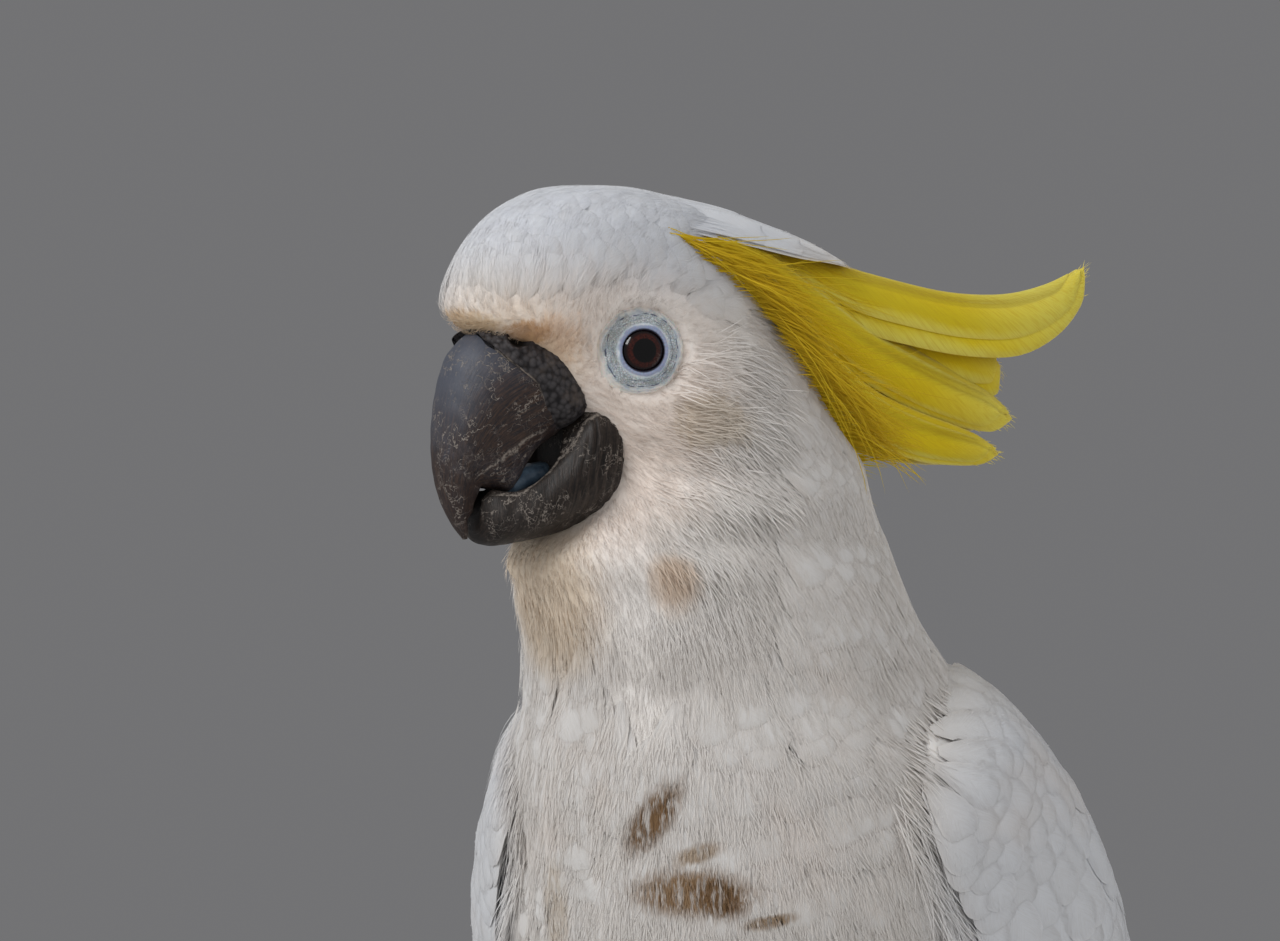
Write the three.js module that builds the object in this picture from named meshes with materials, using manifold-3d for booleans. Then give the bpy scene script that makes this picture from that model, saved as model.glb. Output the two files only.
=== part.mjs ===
// A sulphur-crested cockatoo at life size, standing on both feet with its crest laid back and its head
// turned to its own right. Millimetres, +Z up; the bird faces -Y, so its left side is +X.
// The feathered body is one stack of level sections from crown to belly, parted afterwards by thin cuts.
// Wings, tail and crest are vanes: sheets that span an upper edge, a middle line and a lower edge.

import * as THREE from "three";
import { mergeVertices } from "three/addons/utils/BufferGeometryUtils.js";
import Module from "manifold-3d";

const wasm = await Module();
wasm.setup();

// ---------------------------------------------------------------- driving dimensions

const GAP = 0.45; // clearance between touching pieces
const EYE_LEVEL = 321; // height of the eyes over the floor
const HEAD_TURN = -40; // degrees about +Z, towards the bird's own right
const HEAD_AT = new THREE.Vector3(-25, -48, EYE_LEVEL); // midline point between the eyes
const NECK_TOP = 275; // height of the cut between head and neck
const NECK_FOOT = 247; // height of the cut between neck and trunk

const EYE = {
  forward: 1.1,
  side: 15.2,
  up: 0.5,
  radius: 7.2,
  aim: 15, // degrees forward of straight out
  ringInner: 4.9,
  ringOuter: 10.4,
  lidUp: 5.6, // these three are heights over the ball's centre, along the gaze
  rimUp: 4,
  seatUp: 1.8,
};
const EYE_SIDES = 12;
const NOSTRIL = { forward: 27.4, side: 10.8, up: 1.8, radius: 2.1 };

const FOOT_AT = { side: 29, forward: -6, hub: 8.5 }; // where the toes meet
const TOE_RADIUS = 4.4;
const TOE_LIFT = 3.2; // height of a toe's axis: low enough for its sole to be flat
const CLAW_REACH = 12;
const LIMB_SIDES = 6;

const COLOURS = {
  plumage: 0xf1efea,
  crest: 0xf0d21c,
  horn: 0x3a3739,
  cereSkin: 0x2a2829,
  tongue: 0x5b6b78,
  eye: 0x1c0b08,
  ringSkin: 0xc9d6e6,
  footSkin: 0x4a4746,
};

// ---------------------------------------------------------------- solids and meshes

/** Turns a closed geometry into a solid, with its faces outwards, after an optional placement. */
function solidOf(geometry, placement) {
  const bare = new THREE.BufferGeometry();
  bare.setAttribute("position", geometry.getAttribute("position").clone());
  if (geometry.index) bare.setIndex(geometry.index.clone());
  if (placement) bare.applyMatrix4(placement);
  const merged = mergeVertices(bare, 1e-3);
  const vertProperties = new Float32Array(merged.attributes.position.array);
  const faces = [];
  const index = merged.index.array;
  for (let i = 0; i < index.length; i += 3) {
    const [a, b, c] = [index[i], index[i + 1], index[i + 2]];
    if (a !== b && b !== c && c !== a) faces.push(a, b, c);
  }
  const build = (list) =>
    new wasm.Manifold(new wasm.Mesh({ numProp: 3, vertProperties, triVerts: new Uint32Array(list) }));
  const made = build(faces);
  return made.volume() < 0 ? build(faces.reverse()) : made;
}

/** The largest body of a solid, so that a cut leaves no crumbs. */
function largest(solid) {
  return solid.decompose().sort((a, b) => b.volume() - a.volume())[0];
}

/** Cuts away each of the other solids and keeps the largest body left. */
function cut(solid, ...others) {
  return largest(others.reduce((left, other) => left.subtract(other), solid));
}

/** Joins solids into one. */
function join(...solids) {
  return solids.reduce((all, one) => all.add(one));
}

/** What has to stay clear of a piece: the same form, grown by the gap. */
function roomFor(form, place = asMade) {
  return solidOf(place(form(GAP)));
}

/** A named mesh from a solid. */
function meshOf(name, solid, colour, roughness) {
  const { vertProperties, triVerts } = solid.getMesh();
  const geometry = new THREE.BufferGeometry();
  geometry.setAttribute("position", new THREE.BufferAttribute(vertProperties, 3));
  geometry.setIndex(new THREE.BufferAttribute(triVerts, 1));
  geometry.computeVertexNormals();
  const material = new THREE.MeshStandardMaterial({ color: colour, roughness, metalness: 0 });
  const mesh = new THREE.Mesh(geometry, material);
  mesh.name = name;
  return mesh;
}

// ---------------------------------------------------------------- lofts

/** Rows of numbers, one for each key station, as `count` + 1 rows on a smooth curve through them. */
function smoothRows(rows, count) {
  const width = rows[0].length;
  const spline = new THREE.CubicInterpolant(
    Float32Array.from(rows.keys()),
    Float32Array.from(rows.flat()),
    width,
    new Float32Array(width),
  );
  return Array.from({ length: count + 1 }, (_, i) =>
    Array.from(spline.evaluate((i / count) * (rows.length - 1))),
  );
}

/**
 * Closed rings of equal, even length, joined by quads. Each end is closed by a strip laid across its ring,
 * between the first half of the ring and the second, so that a thin curved ring closes in its own plane.
 */
function loft(rings) {
  const around = rings[0].length;
  const points = rings.flat();
  const index = [];
  for (let r = 0; r + 1 < rings.length; r++) {
    for (let k = 0; k < around; k++) {
      const [a, b] = [r * around + k, r * around + ((k + 1) % around)];
      index.push(a, b, b + around, a, b + around, a + around);
    }
  }
  const end = (rings.length - 1) * around;
  for (let k = 0; k + 1 < around / 2; k++) {
    const [a, b, c, d] = [k, k + 1, around - 2 - k, around - 1 - k];
    index.push(c, b, a, d, c, a);
    index.push(end + a, end + b, end + c, end + a, end + c, end + d);
  }
  const geometry = new THREE.BufferGeometry().setFromPoints(points);
  geometry.setIndex(index);
  return geometry;
}

/** A round limb along a smooth curve: each key is [x, y, z, radius]. */
function limb(keys, steps, sides, grow = 0) {
  const rows = smoothRows(keys, steps);
  const at = (i) => new THREE.Vector3(...rows[i]);
  const rings = rows.map((row, i) => {
    const along = at(Math.min(i + 1, steps)).sub(at(Math.max(i - 1, 0))).normalize();
    const across = new THREE.Vector3(1, 0, 0).addScaledVector(along, -along.x).normalize();
    const up = new THREE.Vector3().crossVectors(along, across);
    const centre = at(i).addScaledVector(along, i === 0 ? -grow : i === steps ? grow : 0);
    return Array.from({ length: sides }, (_, k) => {
      const angle = (2 * Math.PI * k) / sides;
      return centre
        .clone()
        .addScaledVector(across, (row[3] + grow) * Math.cos(angle))
        .addScaledVector(up, (row[3] + grow) * Math.sin(angle));
    });
  });
  return loft(rings);
}

/**
 * A vane: a thin sheet whose key stations are [upper edge xyz, middle xyz, lower edge xyz, thickness].
 * The middle line is where the sheet stands proudest; its thickness falls to a third at both edges.
 */
function vane(keys, steps, across, grow = 0) {
  const rows = smoothRows(keys, steps);
  const spot = (row, t) => {
    const [d, m, v] = [0, 3, 6].map((k) => new THREE.Vector3(row[k], row[k + 1], row[k + 2]));
    const pull = m.multiplyScalar(2).sub(d.clone().add(v).multiplyScalar(0.5));
    return d.multiplyScalar((1 - t) ** 2).addScaledVector(pull, 2 * t * (1 - t)).addScaledVector(v, t * t);
  };
  const rings = rows.map((row, i) => {
    const [outer, inner] = [[], []];
    for (let k = 0; k <= across; k++) {
      const t = k / across;
      const point = spot(row, t);
      const over = spot(row, Math.min(t + 0.02, 1)).sub(spot(row, Math.max(t - 0.02, 0))).normalize();
      const along = spot(rows[Math.min(i + 1, steps)], t).sub(spot(rows[Math.max(i - 1, 0)], t)).normalize();
      const normal = over.clone().cross(along).normalize();
      const edge = k === 0 ? -grow : k === across ? grow : 0;
      point.addScaledVector(along, i === 0 ? -grow : i === steps ? grow : 0);
      const depth = row[9] * (1 - (2 * t - 1) ** 2 * (2 / 3)) + grow;
      outer.push(point.clone().addScaledVector(normal, grow).addScaledVector(over, edge));
      inner.push(point.clone().addScaledVector(normal, -depth).addScaledVector(over, edge));
    }
    return [...outer, ...inner.reverse()];
  });
  return loft(rings);
}

/** The geometry as it was made, for the left side. */
function asMade(geometry) {
  return geometry;
}

/** The same geometry on the bird's right side. */
function mirrored(geometry) {
  return geometry.clone().scale(-1, 1, 1);
}

const SIDES = [
  ["_left", asMade],
  ["_right", mirrored],
];

// ---------------------------------------------------------------- the feathered body

/** Where the head's own forward axis points, seen from above. */
const headAxis = new THREE.Vector3(0, -1, 0).applyAxisAngle(
  new THREE.Vector3(0, 0, 1),
  THREE.MathUtils.degToRad(HEAD_TURN),
);

/** A head section from its height over the eyes, its front and back reach, and its half width. */
function headSection(up, front, back, half) {
  const middle = (front + back) / 2;
  const reach = (front - back) / 2;
  const { x, y } = headAxis.clone().multiplyScalar(middle).add(HEAD_AT);
  return [EYE_LEVEL + up, x, y, half, reach, reach, HEAD_TURN];
}

/** Level sections from crown to belly: [height, centre x, centre y, half width, front, back, turn]. */
const BODY = [
  headSection(39, 10, 5, 1), // crown
  headSection(37.8, 21.5, -8, 11),
  headSection(32.5, 31, -26, 18),
  headSection(23, 37.8, -38, 22),
  headSection(14, 41.2, -45, 24),
  headSection(8, 41.2, -48, 24.6), // forehead over the bill
  headSection(3.5, 37, -49, 25),
  headSection(-1, 26, -50, 25.5),
  headSection(-9, 17.5, -54, 26.8),
  headSection(-17, 11, -59, 28.5),
  headSection(-25, 6, -63, 30.5), // behind the lower mandible
  headSection(-33, 8, -65, 32.5),
  headSection(-40, 16, -65.5, 34.5),
  headSection(-46, 23, -66, 37.5), // chin
  [267, -10, -22, 44, 44.5, 46, -30], // throat
  [256, -7, -18, 49, 46.5, 50, -18],
  [243, -4, -13, 52, 51, 57, -8],
  [227, -1, -8, 55, 58, 66, 0], // shoulders
  [207, 0, 2, 59, 68, 69, 0],
  [185, 0, 8, 61, 71, 71, 0], // breast
  [157, 0, 20, 61, 74, 70, 0],
  [130, 0, 32, 56, 72, 68, 0],
  [105, 0, 42, 48, 64, 62, 0], // belly
  [85, 0, 48, 38, 52, 50, 0],
  [71, 0, 50, 26, 38, 34, 0],
  [64, 0, 50, 14, 22, 20, 0],
  [62, 0, 50, 1, 2, 2, 0],
];
const BODY_STEPS = 28;
const BODY_SIDES = 20;

/**
 * The whole feathered body, from crown to belly, as one closed geometry. Each section is an ellipse with
 * its own front and back, met at equal bearings all the way down, so that turning the head shears nothing.
 */
function bodyForm(grow = 0) {
  const rings = smoothRows(BODY, BODY_STEPS).map(([z, x, y, half, front, back, turn]) => {
    const across = Math.max(half, 0.5) + grow;
    return Array.from({ length: BODY_SIDES }, (_, k) => {
      const bearing = (2 * Math.PI * k) / BODY_SIDES;
      const angle = bearing - THREE.MathUtils.degToRad(turn);
      const along = Math.max(Math.cos(angle) > 0 ? front : back, 0.5) + grow;
      const reach = 1 / Math.hypot(Math.sin(angle) / across, Math.cos(angle) / along);
      return new THREE.Vector3(x + reach * Math.sin(bearing), y - reach * Math.cos(bearing), z);
    });
  });
  return loft(rings);
}

// ---------------------------------------------------------------- bill, tongue, cere and eyes
// In the head's own frame: x to its left, f forward, z over the eyes. A row is [top f, top z, bottom f,
// bottom z, half width]: a ring through the ridge, both sides and the lower edge.

const BILL_UPPER = [
  [18, 5, 10, -14, 10.5],
  [26, 6.2, 15, -18.5, 11.8],
  [33.6, 5.2, 20.5, -21.8, 11.8],
  [38.8, 0.5, 26, -24.2, 11],
  [41.4, -7, 30.2, -25.6, 9.8],
  [42.7, -15, 33, -26.6, 8.4],
  [43, -22.5, 35, -28.4, 6.9],
  [42.4, -28.6, 36.2, -32, 5.4],
  [40.8, -34, 36.2, -36, 4],
  [38.6, -38.2, 35.8, -39.2, 2.6],
  [36.4, -41.4, 35.4, -41.2, 0.7],
];
const CERE = [
  [13, 7, 4, -12, 12],
  [22, 8.2, 9.5, -15, 13.4],
  [29, 8, 14.2, -17.2, 13.6],
  [33.8, 6.6, 18, -18.2, 12.6],
];
const BILL_LOWER = [
  [-1, -22, -1, -32, 9.5],
  [3.6, -16.4, 4.2, -37.2, 13.6],
  [10, -13.6, 12, -39.8, 14.8],
  [16, -19.6, 19, -41.4, 13.8],
  [21.4, -25.6, 25, -42.4, 12.2],
  [26.4, -29.4, 29.6, -42.9, 10.4],
  [30.6, -32.6, 32.4, -42, 8],
  [33, -34.8, 33.6, -39.4, 4],
];
const MOUTH_FLOOR = [
  [13, -14, 13.5, -27, 7],
  [17, -17, 18.5, -30, 9.6],
  [22, -22, 23.5, -33, 9.2],
  [27, -26, 28, -35, 7.4],
  [32, -29, 32, -36, 5],
  [36, -30, 36, -35.4, 2.6],
];
const TONGUE = [
  [16, -24, 16.4, -27.6, 3.8],
  [18, -24.2, 18.4, -29.6, 5],
  [22.6, -24.8, 22.8, -31.6, 5.2],
  [26, -26.8, 26, -32.4, 4],
  [27.8, -29, 27.8, -31, 1.2],
];
const HEAD_SIDES = 12;
const STEPS = { billUpper: 11, cere: 4, billLower: 8, mouth: 6, tongue: 6 }; // rings along each of them

/** Rings through the rows above, in the head's frame. */
function headPiece(keys, steps, grow = 0) {
  const rings = smoothRows(keys, steps).map(([topF, topZ, lowF, lowZ, half]) => {
    const middle = new THREE.Vector2(topF + lowF, topZ + lowZ).multiplyScalar(0.5);
    const rise = new THREE.Vector2(topF - lowF, topZ - lowZ).multiplyScalar(0.5);
    const reach = rise.length();
    rise.multiplyScalar((reach + grow) / reach);
    return Array.from({ length: HEAD_SIDES }, (_, k) => {
      const angle = (2 * Math.PI * k) / HEAD_SIDES;
      const lean = Math.cos(angle);
      return new THREE.Vector3(
        (Math.max(half, 0.3) + grow) * Math.sin(angle),
        -(middle.x + rise.x * lean),
        middle.y + rise.y * lean,
      );
    });
  });
  return loft(rings);
}

/** Turns +Y to the way an eye looks and moves it to the eye; `side` is +1 on the left, -1 on the right. */
function eyePlacement(side) {
  const aim = THREE.MathUtils.degToRad(EYE.aim);
  const gaze = new THREE.Vector3(side * Math.cos(aim), -Math.sin(aim), 0);
  const turn = new THREE.Quaternion().setFromUnitVectors(new THREE.Vector3(0, 1, 0), gaze);
  const at = new THREE.Vector3(side * EYE.side, -EYE.forward, EYE.up);
  return new THREE.Matrix4().compose(at, turn, new THREE.Vector3(1, 1, 1));
}

/** A point on the eyeball's room, `up` along the gaze from its centre. */
function ballEdge(up) {
  return [Math.sqrt((EYE.radius + GAP) ** 2 - up ** 2), up];
}

/** A turned form about +Y from [radius, height] pairs, closed on itself. */
function turned(pairs) {
  const profile = pairs.map(([radius, up]) => new THREE.Vector2(radius, up));
  return new THREE.LatheGeometry([...profile, profile[0]], EYE_SIDES);
}

/** The bare ring of skin round an eye: a low cone, highest at the lids, clear of the ball under it. */
function eyeRing() {
  return turned([
    ballEdge(EYE.lidUp),
    [EYE.ringInner + 0.6, EYE.lidUp + 0.9],
    [EYE.ringInner + 2, EYE.lidUp + 0.9],
    [EYE.ringOuter, EYE.rimUp],
    [EYE.ringOuter, EYE.seatUp],
    ballEdge(EYE.seatUp),
    ballEdge((EYE.seatUp + EYE.lidUp) / 2),
  ]);
}

/** The hollow in the head for an eyeball and its ring, open to the outside. */
function eyeSocket() {
  const [ball, ring] = [EYE.radius + GAP, EYE.ringOuter + GAP];
  return turned([
    [0, -ball],
    [ball * 0.75, -ball * 0.8],
    [ball + 0.2, -ball * 0.1],
    [ball + 0.2, EYE.seatUp - GAP],
    [ring, EYE.seatUp - GAP],
    [ring, EYE.radius + 6],
    [0, EYE.radius + 6],
  ]);
}

// ---------------------------------------------------------------- crest
// A laid-back crest: the vanes on the midline are arches nested under each other, and those beside it lie
// against the head, in pairs. A row is [f, z, distance out, half breadth, drop of the edges].

const CREST = [
  {
    name: "white",
    colour: COLOURS.plumage,
    thick: 1.5,
    rows: [
      [8, 39.3, 0, 4, 1],
      [-8, 40, 0, 9, 4],
      [-24, 37.8, 0, 12, 8.6],
      [-38, 33.8, 0, 12.5, 10],
      [-50, 28.4, 0, 10.5, 9.4],
      [-58, 25, 0, 6.5, 6],
      [-62, 22.6, 0, 1.6, 1.5],
    ],
  },
  {
    name: "upper",
    colour: COLOURS.crest,
    thick: 1.2,
    rows: [
      [2, 37.4, 0, 5, 2],
      [-20, 36.8, 0, 10, 8],
      [-42, 31, 0, 11, 13],
      [-60, 22.4, 0, 10.5, 14.5],
      [-76, 16.6, 0, 9.5, 14.5],
      [-92, 13.6, 0, 8.5, 14],
      [-107, 13.2, 0, 7.5, 13.5],
      [-119, 15.6, 0, 5.5, 11],
      [-127, 19, 0, 3, 7],
      [-129.5, 20.6, 0, 0.9, 2],
    ],
  },
  {
    name: "middle",
    colour: COLOURS.crest,
    thick: 1.1,
    rows: [
      [-8, 34.6, 0, 2.5, 1],
      [-30, 31.4, 0, 6, 8],
      [-48, 24, 0, 6.6, 12],
      [-66, 13.6, 0, 6.4, 14.5],
      [-82, 6.6, 0, 5.6, 14.5],
      [-95, 2.6, 0, 4.6, 13],
      [-103, 0, 0, 3, 9.5],
      [-106.5, -3, 0, 0.9, 3],
    ],
  },
  {
    name: "lower",
    colour: COLOURS.crest,
    thick: 1.3,
    rows: [
      [0, 33.6, 12.5, 2.4, 2.4],
      [-16, 30.4, 18.2, 3.4, 6],
      [-32, 22.6, 18.8, 3.6, 8],
      [-48, 12, 14.6, 3.4, 9.5],
      [-64, 2.6, 10.8, 2.8, 10.5],
      [-80, -4.6, 8.4, 2.6, 10.5],
      [-94, -10, 6.6, 2.2, 8.6],
      [-102, -13, 5.8, 1.6, 6],
      [-106.5, -15, 5.4, 0.8, 2],
    ],
  },
  {
    name: "hind",
    colour: COLOURS.crest,
    thick: 1.3,
    rows: [
      [-14, 25.4, 21.2, 1.8, 4],
      [-28, 17.6, 22.2, 2.4, 6],
      [-42, 6.6, 19.2, 2.6, 8],
      [-54, -4.4, 15, 2.6, 9],
      [-66, -12.6, 11.6, 2.4, 9],
      [-79, -17.6, 9.6, 2.2, 8.4],
      [-91, -20.4, 8.4, 1.8, 6.4],
      [-98, -22, 7.8, 1.2, 4],
      [-101.5, -23, 7.4, 0.8, 1.6],
    ],
  },
];

const CREST_STEPS = 7;
const CREST_ACROSS = 3;

/** One crest vane: an arch on the midline, or else a sheet to the left of it that faces outwards. */
function crestVane({ rows, thick }, grow = 0) {
  const keys = rows.map(([f, z, out, half, drop]) => {
    const upper = out ? [out - 2 * half, -f, z + drop * 0.6] : [-half, -f, z - drop];
    const lower = out ? [out - half, -f, z - drop * 0.8] : [half, -f, z - drop];
    return [...upper, out, -f, z, ...lower, thick];
  });
  return vane(keys, CREST_STEPS, CREST_ACROSS, grow);
}

// ---------------------------------------------------------------- wings
// The left wing; rows are [back edge xyz, proudest line xyz, front edge xyz, thickness].

const WING_COVERTS = [
  [38, -20, 245, 48, -30, 235, 49, -40, 222, 3],
  [41, 6, 250, 62, -12, 231, 55, -37, 206, 8],
  [36, 32, 243, 74, 12, 208, 62, -22, 178, 12],
  [24, 60, 219, 75.5, 37, 178, 62, -5, 145, 12],
  [12, 86, 190, 70, 64, 148, 55, 22, 114, 11],
  [6, 105, 161, 59, 91, 122, 47, 52, 89, 9],
  [4, 121, 138, 47, 112, 104, 39, 80, 77, 5],
  [5, 130, 125, 38, 124, 94, 33, 98, 70, 2],
];
const WING_SECONDARIES = [
  [8, 86, 176, 60, 74, 136, 48, 36, 105, 3],
  [4.5, 113, 146, 52, 102, 112, 43, 64, 83, 3],
  [4, 136, 118, 40, 130, 87, 35, 98, 65, 3],
  [4, 156, 95, 28, 154, 76, 27, 132, 62, 2.4],
  [7, 167, 83, 18, 167, 75, 19, 161, 72.5, 1.2],
];
const WING_PRIMARIES = [
  [5, 122, 126, 42, 116, 94, 36, 94, 72, 2.6],
  [4, 148, 99, 29, 145, 81, 28, 124, 67, 2.6],
  [4, 174, 77, 20, 173, 68, 22, 160, 65, 2.2],
  [4, 198, 60, 15, 198, 55, 16, 188, 53, 1.8],
  [6, 217, 48, 11, 218, 45.5, 12, 212, 44, 1.2],
];

// ---------------------------------------------------------------- tail

const TAIL = {
  pairs: 6,
  root: [0, 92, 93],
  tip: [0, 262, 13],
  spread: 29,
  step: 0.55, // how far each feather lies under the next one in
  shorter: 2.4, // and how much sooner it ends
  half: 11,
  thick: 1.3,
};
const TAIL_COVERT_MESH = [6, 4]; // steps along and across
const TAIL_COVERTS = [
  [-33, 74, 81, 0, 78, 119, 33, 74, 81, 34],
  [-30, 100, 73, 0, 104, 103, 30, 100, 73, 27],
  [-26, 128, 63, 0, 132, 82, 26, 128, 63, 18],
  [-22, 156, 53, 0, 160, 64.5, 22, 156, 53, 11.5],
  [-16, 178, 45.5, 0, 182, 53, 16, 178, 45.5, 8],
  [-6, 196, 42, 0, 198, 45.6, 6, 196, 42, 4],
];

/** One tail feather: a long shallow vane with a rounded end; `rank` counts outwards from the middle. */
function tailFeather(rank, side) {
  const [root, tip] = [TAIL.root, TAIL.tip].map((p) => new THREE.Vector3(...p));
  const fan = ((rank + 0.5) / TAIL.pairs) * TAIL.spread * side;
  const along = tip.clone().sub(root).normalize();
  const up = new THREE.Vector3(0, -along.z, along.y);
  const length = root.distanceTo(tip) - rank * TAIL.shorter;
  const shape = [
    [0, 0.5],
    [0.55, 0.9],
    [0.93, 1],
    [1, 0.4],
  ];
  const keys = shape.map(([t, width]) => {
    const middle = root
      .clone()
      .addScaledVector(along, t * length)
      .addScaledVector(up, -rank * TAIL.step);
    middle.x = fan * (0.12 + 0.88 * t);
    const edge = (way) => [middle.x + way * width * TAIL.half, middle.y - 0.3, middle.z - 0.7 * width];
    return [...edge(-1), middle.x, middle.y, middle.z, ...edge(1), TAIL.thick];
  });
  return vane(keys, shape.length - 1, 2);
}

// ---------------------------------------------------------------- legs

/** Toes of the left foot: [name, heading in degrees from straight ahead and outwards, length]. */
const TOES = [
  ["inner_front", -12, 26],
  ["outer_front", 14, 35],
  ["outer_hind", 152, 31],
  ["inner_hind", 200, 20],
];

/** Points along a toe and its claw, from the hub outwards. */
function toePath(heading) {
  const angle = THREE.MathUtils.degToRad(heading);
  const { side, forward, hub } = FOOT_AT;
  return (reach, up) => [side + reach * Math.sin(angle), -forward - reach * Math.cos(angle), up ?? hub];
}

/** A toe: round pads along a line that comes down to the floor. */
function toe([, heading, length], grow = 0) {
  const at = toePath(heading);
  const keys = [
    [...at(0), 4.6],
    [...at(length * 0.25, 5.6), 4],
    [...at(length * 0.5, TOE_LIFT), TOE_RADIUS],
    [...at(length * 0.75, TOE_LIFT + 0.5), TOE_RADIUS - 0.6],
    [...at(length, TOE_LIFT), TOE_RADIUS - 0.3],
    [...at(length + 2, TOE_LIFT + 0.2), 1.8],
  ];
  return limb(keys, keys.length - 1, LIMB_SIDES, grow);
}

/** A hooked claw beyond the end of a toe. */
function claw([, heading, length]) {
  const at = toePath(heading);
  const keys = [
    [...at(length - 1, TOE_LIFT + 1.4), 1.9],
    [...at(length + CLAW_REACH * 0.35, TOE_LIFT + 3), 2],
    [...at(length + CLAW_REACH * 0.75, TOE_LIFT + 1.4), 1.3],
    [...at(length + CLAW_REACH, 0.7), 0.45],
  ];
  return limb(keys, keys.length - 1, LIMB_SIDES);
}

const SHANK = [
  [FOOT_AT.side, 27, 38, 5.6],
  [FOOT_AT.side, 21, 26, 4.9],
  [FOOT_AT.side, 13, 16, 4.9],
  [FOOT_AT.side, -FOOT_AT.forward, FOOT_AT.hub, 5.4],
];
const THIGH = [
  [27, 18, 107, 22],
  [29, 20, 84, 23.5],
  [30, 23, 60, 19],
  [FOOT_AT.side + 0.5, 25, 44, 13.5],
  [FOOT_AT.side, 25.5, 34, 9.6],
  [FOOT_AT.side, 25, 29, 7.4],
];

const THIGH_SIDES = 10;

// ---------------------------------------------------------------- assembly

const bird = new THREE.Group();
bird.name = "cockatoo";
const head = new THREE.Group();
head.position.copy(HEAD_AT);
head.rotation.z = THREE.MathUtils.degToRad(HEAD_TURN);
head.updateMatrix();
bird.add(head);

/** Adds the pieces set in the head and returns their outlines, placed in the bird's frame, for cutting. */
function addFace() {
  const upper = solidOf(headPiece(BILL_UPPER, STEPS.billUpper));
  const upperRoom = roomFor((grow) => headPiece(BILL_UPPER, STEPS.billUpper, grow));
  const nostrils = [1, -1].map((side) =>
    solidOf(
      new THREE.SphereGeometry(NOSTRIL.radius, 6, 4),
      new THREE.Matrix4().makeTranslation(side * NOSTRIL.side, -NOSTRIL.forward, NOSTRIL.up),
    ),
  );
  const cereForm = solidOf(headPiece(CERE, STEPS.cere));
  const cereRoom = roomFor((grow) => headPiece(CERE, STEPS.cere, grow));
  const cere = cut(cereForm, upperRoom, ...nostrils);
  const scoop = solidOf(headPiece(MOUTH_FLOOR, STEPS.mouth));
  const lowerForm = solidOf(headPiece(BILL_LOWER, STEPS.billLower));
  const lower = cut(lowerForm, upperRoom, cereRoom, scoop);
  const lowerRoom = roomFor((grow) => headPiece(BILL_LOWER, STEPS.billLower, grow));
  const tongue = cut(solidOf(headPiece(TONGUE, STEPS.tongue)), upperRoom);
  head.add(
    meshOf("bill_upper", upper, COLOURS.horn, 0.5),
    meshOf("cere", cere, COLOURS.cereSkin, 0.7),
    meshOf("bill_lower", lower, COLOURS.horn, 0.5),
    meshOf("tongue", tongue, COLOURS.tongue, 0.35),
  );
  const rooms = [upperRoom, cereRoom, lowerRoom];
  for (const [suffix, side] of [["_left", 1], ["_right", -1]]) {
    const place = eyePlacement(side);
    const ball = new THREE.SphereGeometry(EYE.radius, 10, 7);
    head.add(
      meshOf("eye" + suffix, solidOf(ball, place), COLOURS.eye, 0.05),
      meshOf("eye_ring" + suffix, solidOf(eyeRing(), place), COLOURS.ringSkin, 0.6),
    );
    rooms.push(solidOf(eyeSocket(), place));
  }
  return rooms.map((room) => room.transform(head.matrix.elements));
}

/** Adds the crest, each vane cut clear of the head and of the vanes over it. */
function addCrest(bodyRoom) {
  const toHead = head.matrix.clone().invert();
  const crown = bodyRoom.transform(toHead.elements);
  const over = [];
  for (const feather of CREST) {
    const paired = feather.rows[0][2] > 0;
    const rooms = [];
    for (const [suffix, place] of paired ? SIDES : [["", asMade]]) {
      const made = cut(solidOf(place(crestVane(feather))), crown, ...over);
      head.add(meshOf("crest_" + feather.name + suffix, made, feather.colour, 0.75));
      rooms.push(roomFor((grow) => crestVane(feather, grow), place));
    }
    over.push(...rooms);
  }
}

/** Adds head, neck and trunk, parted by level cuts and cleared of what is set in the head. */
function addFlesh(rooms) {
  const whole = cut(solidOf(bodyForm()), ...rooms);
  const [headPart, rest] = whole.splitByPlane([0, 0, 1], NECK_TOP);
  const [neck, trunk] = rest.trimByPlane([0, 0, -1], -(NECK_TOP - GAP)).splitByPlane([0, 0, 1], NECK_FOOT);
  const parts = [
    ["head", headPart],
    ["neck", neck],
    ["trunk", trunk.trimByPlane([0, 0, -1], -(NECK_FOOT - GAP))],
  ];
  for (const [name, part] of parts) bird.add(meshOf(name, largest(part), COLOURS.plumage, 0.85));
}

/** Adds both wings, in three layers from the coverts inwards; returns their outlines. */
function addWings(...rooms) {
  const outlines = [];
  const layers = [
    ["coverts", WING_COVERTS, 8, 4],
    ["secondaries", WING_SECONDARIES, 5, 3],
    ["primaries", WING_PRIMARIES, 4, 3],
  ];
  for (const [suffix, place] of SIDES) {
    const over = [];
    for (const [layer, rows, steps, across] of layers) {
      const whole = solidOf(place(vane(rows, steps, across)));
      bird.add(meshOf(`wing_${layer}${suffix}`, cut(whole, ...rooms, ...over), COLOURS.plumage, 0.8));
      over.push(roomFor((grow) => vane(rows, steps, across, grow), place), whole);
    }
    outlines.push(...over);
  }
  return outlines;
}

/** Adds the coverts over the root of the tail; returns their outline. */
function addTailCoverts(bodyRoom) {
  const made = cut(solidOf(vane(TAIL_COVERTS, ...TAIL_COVERT_MESH)), bodyRoom);
  bird.add(meshOf("tail_coverts", made, COLOURS.plumage, 0.85));
  return roomFor((grow) => vane(TAIL_COVERTS, ...TAIL_COVERT_MESH, grow));
}

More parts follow.
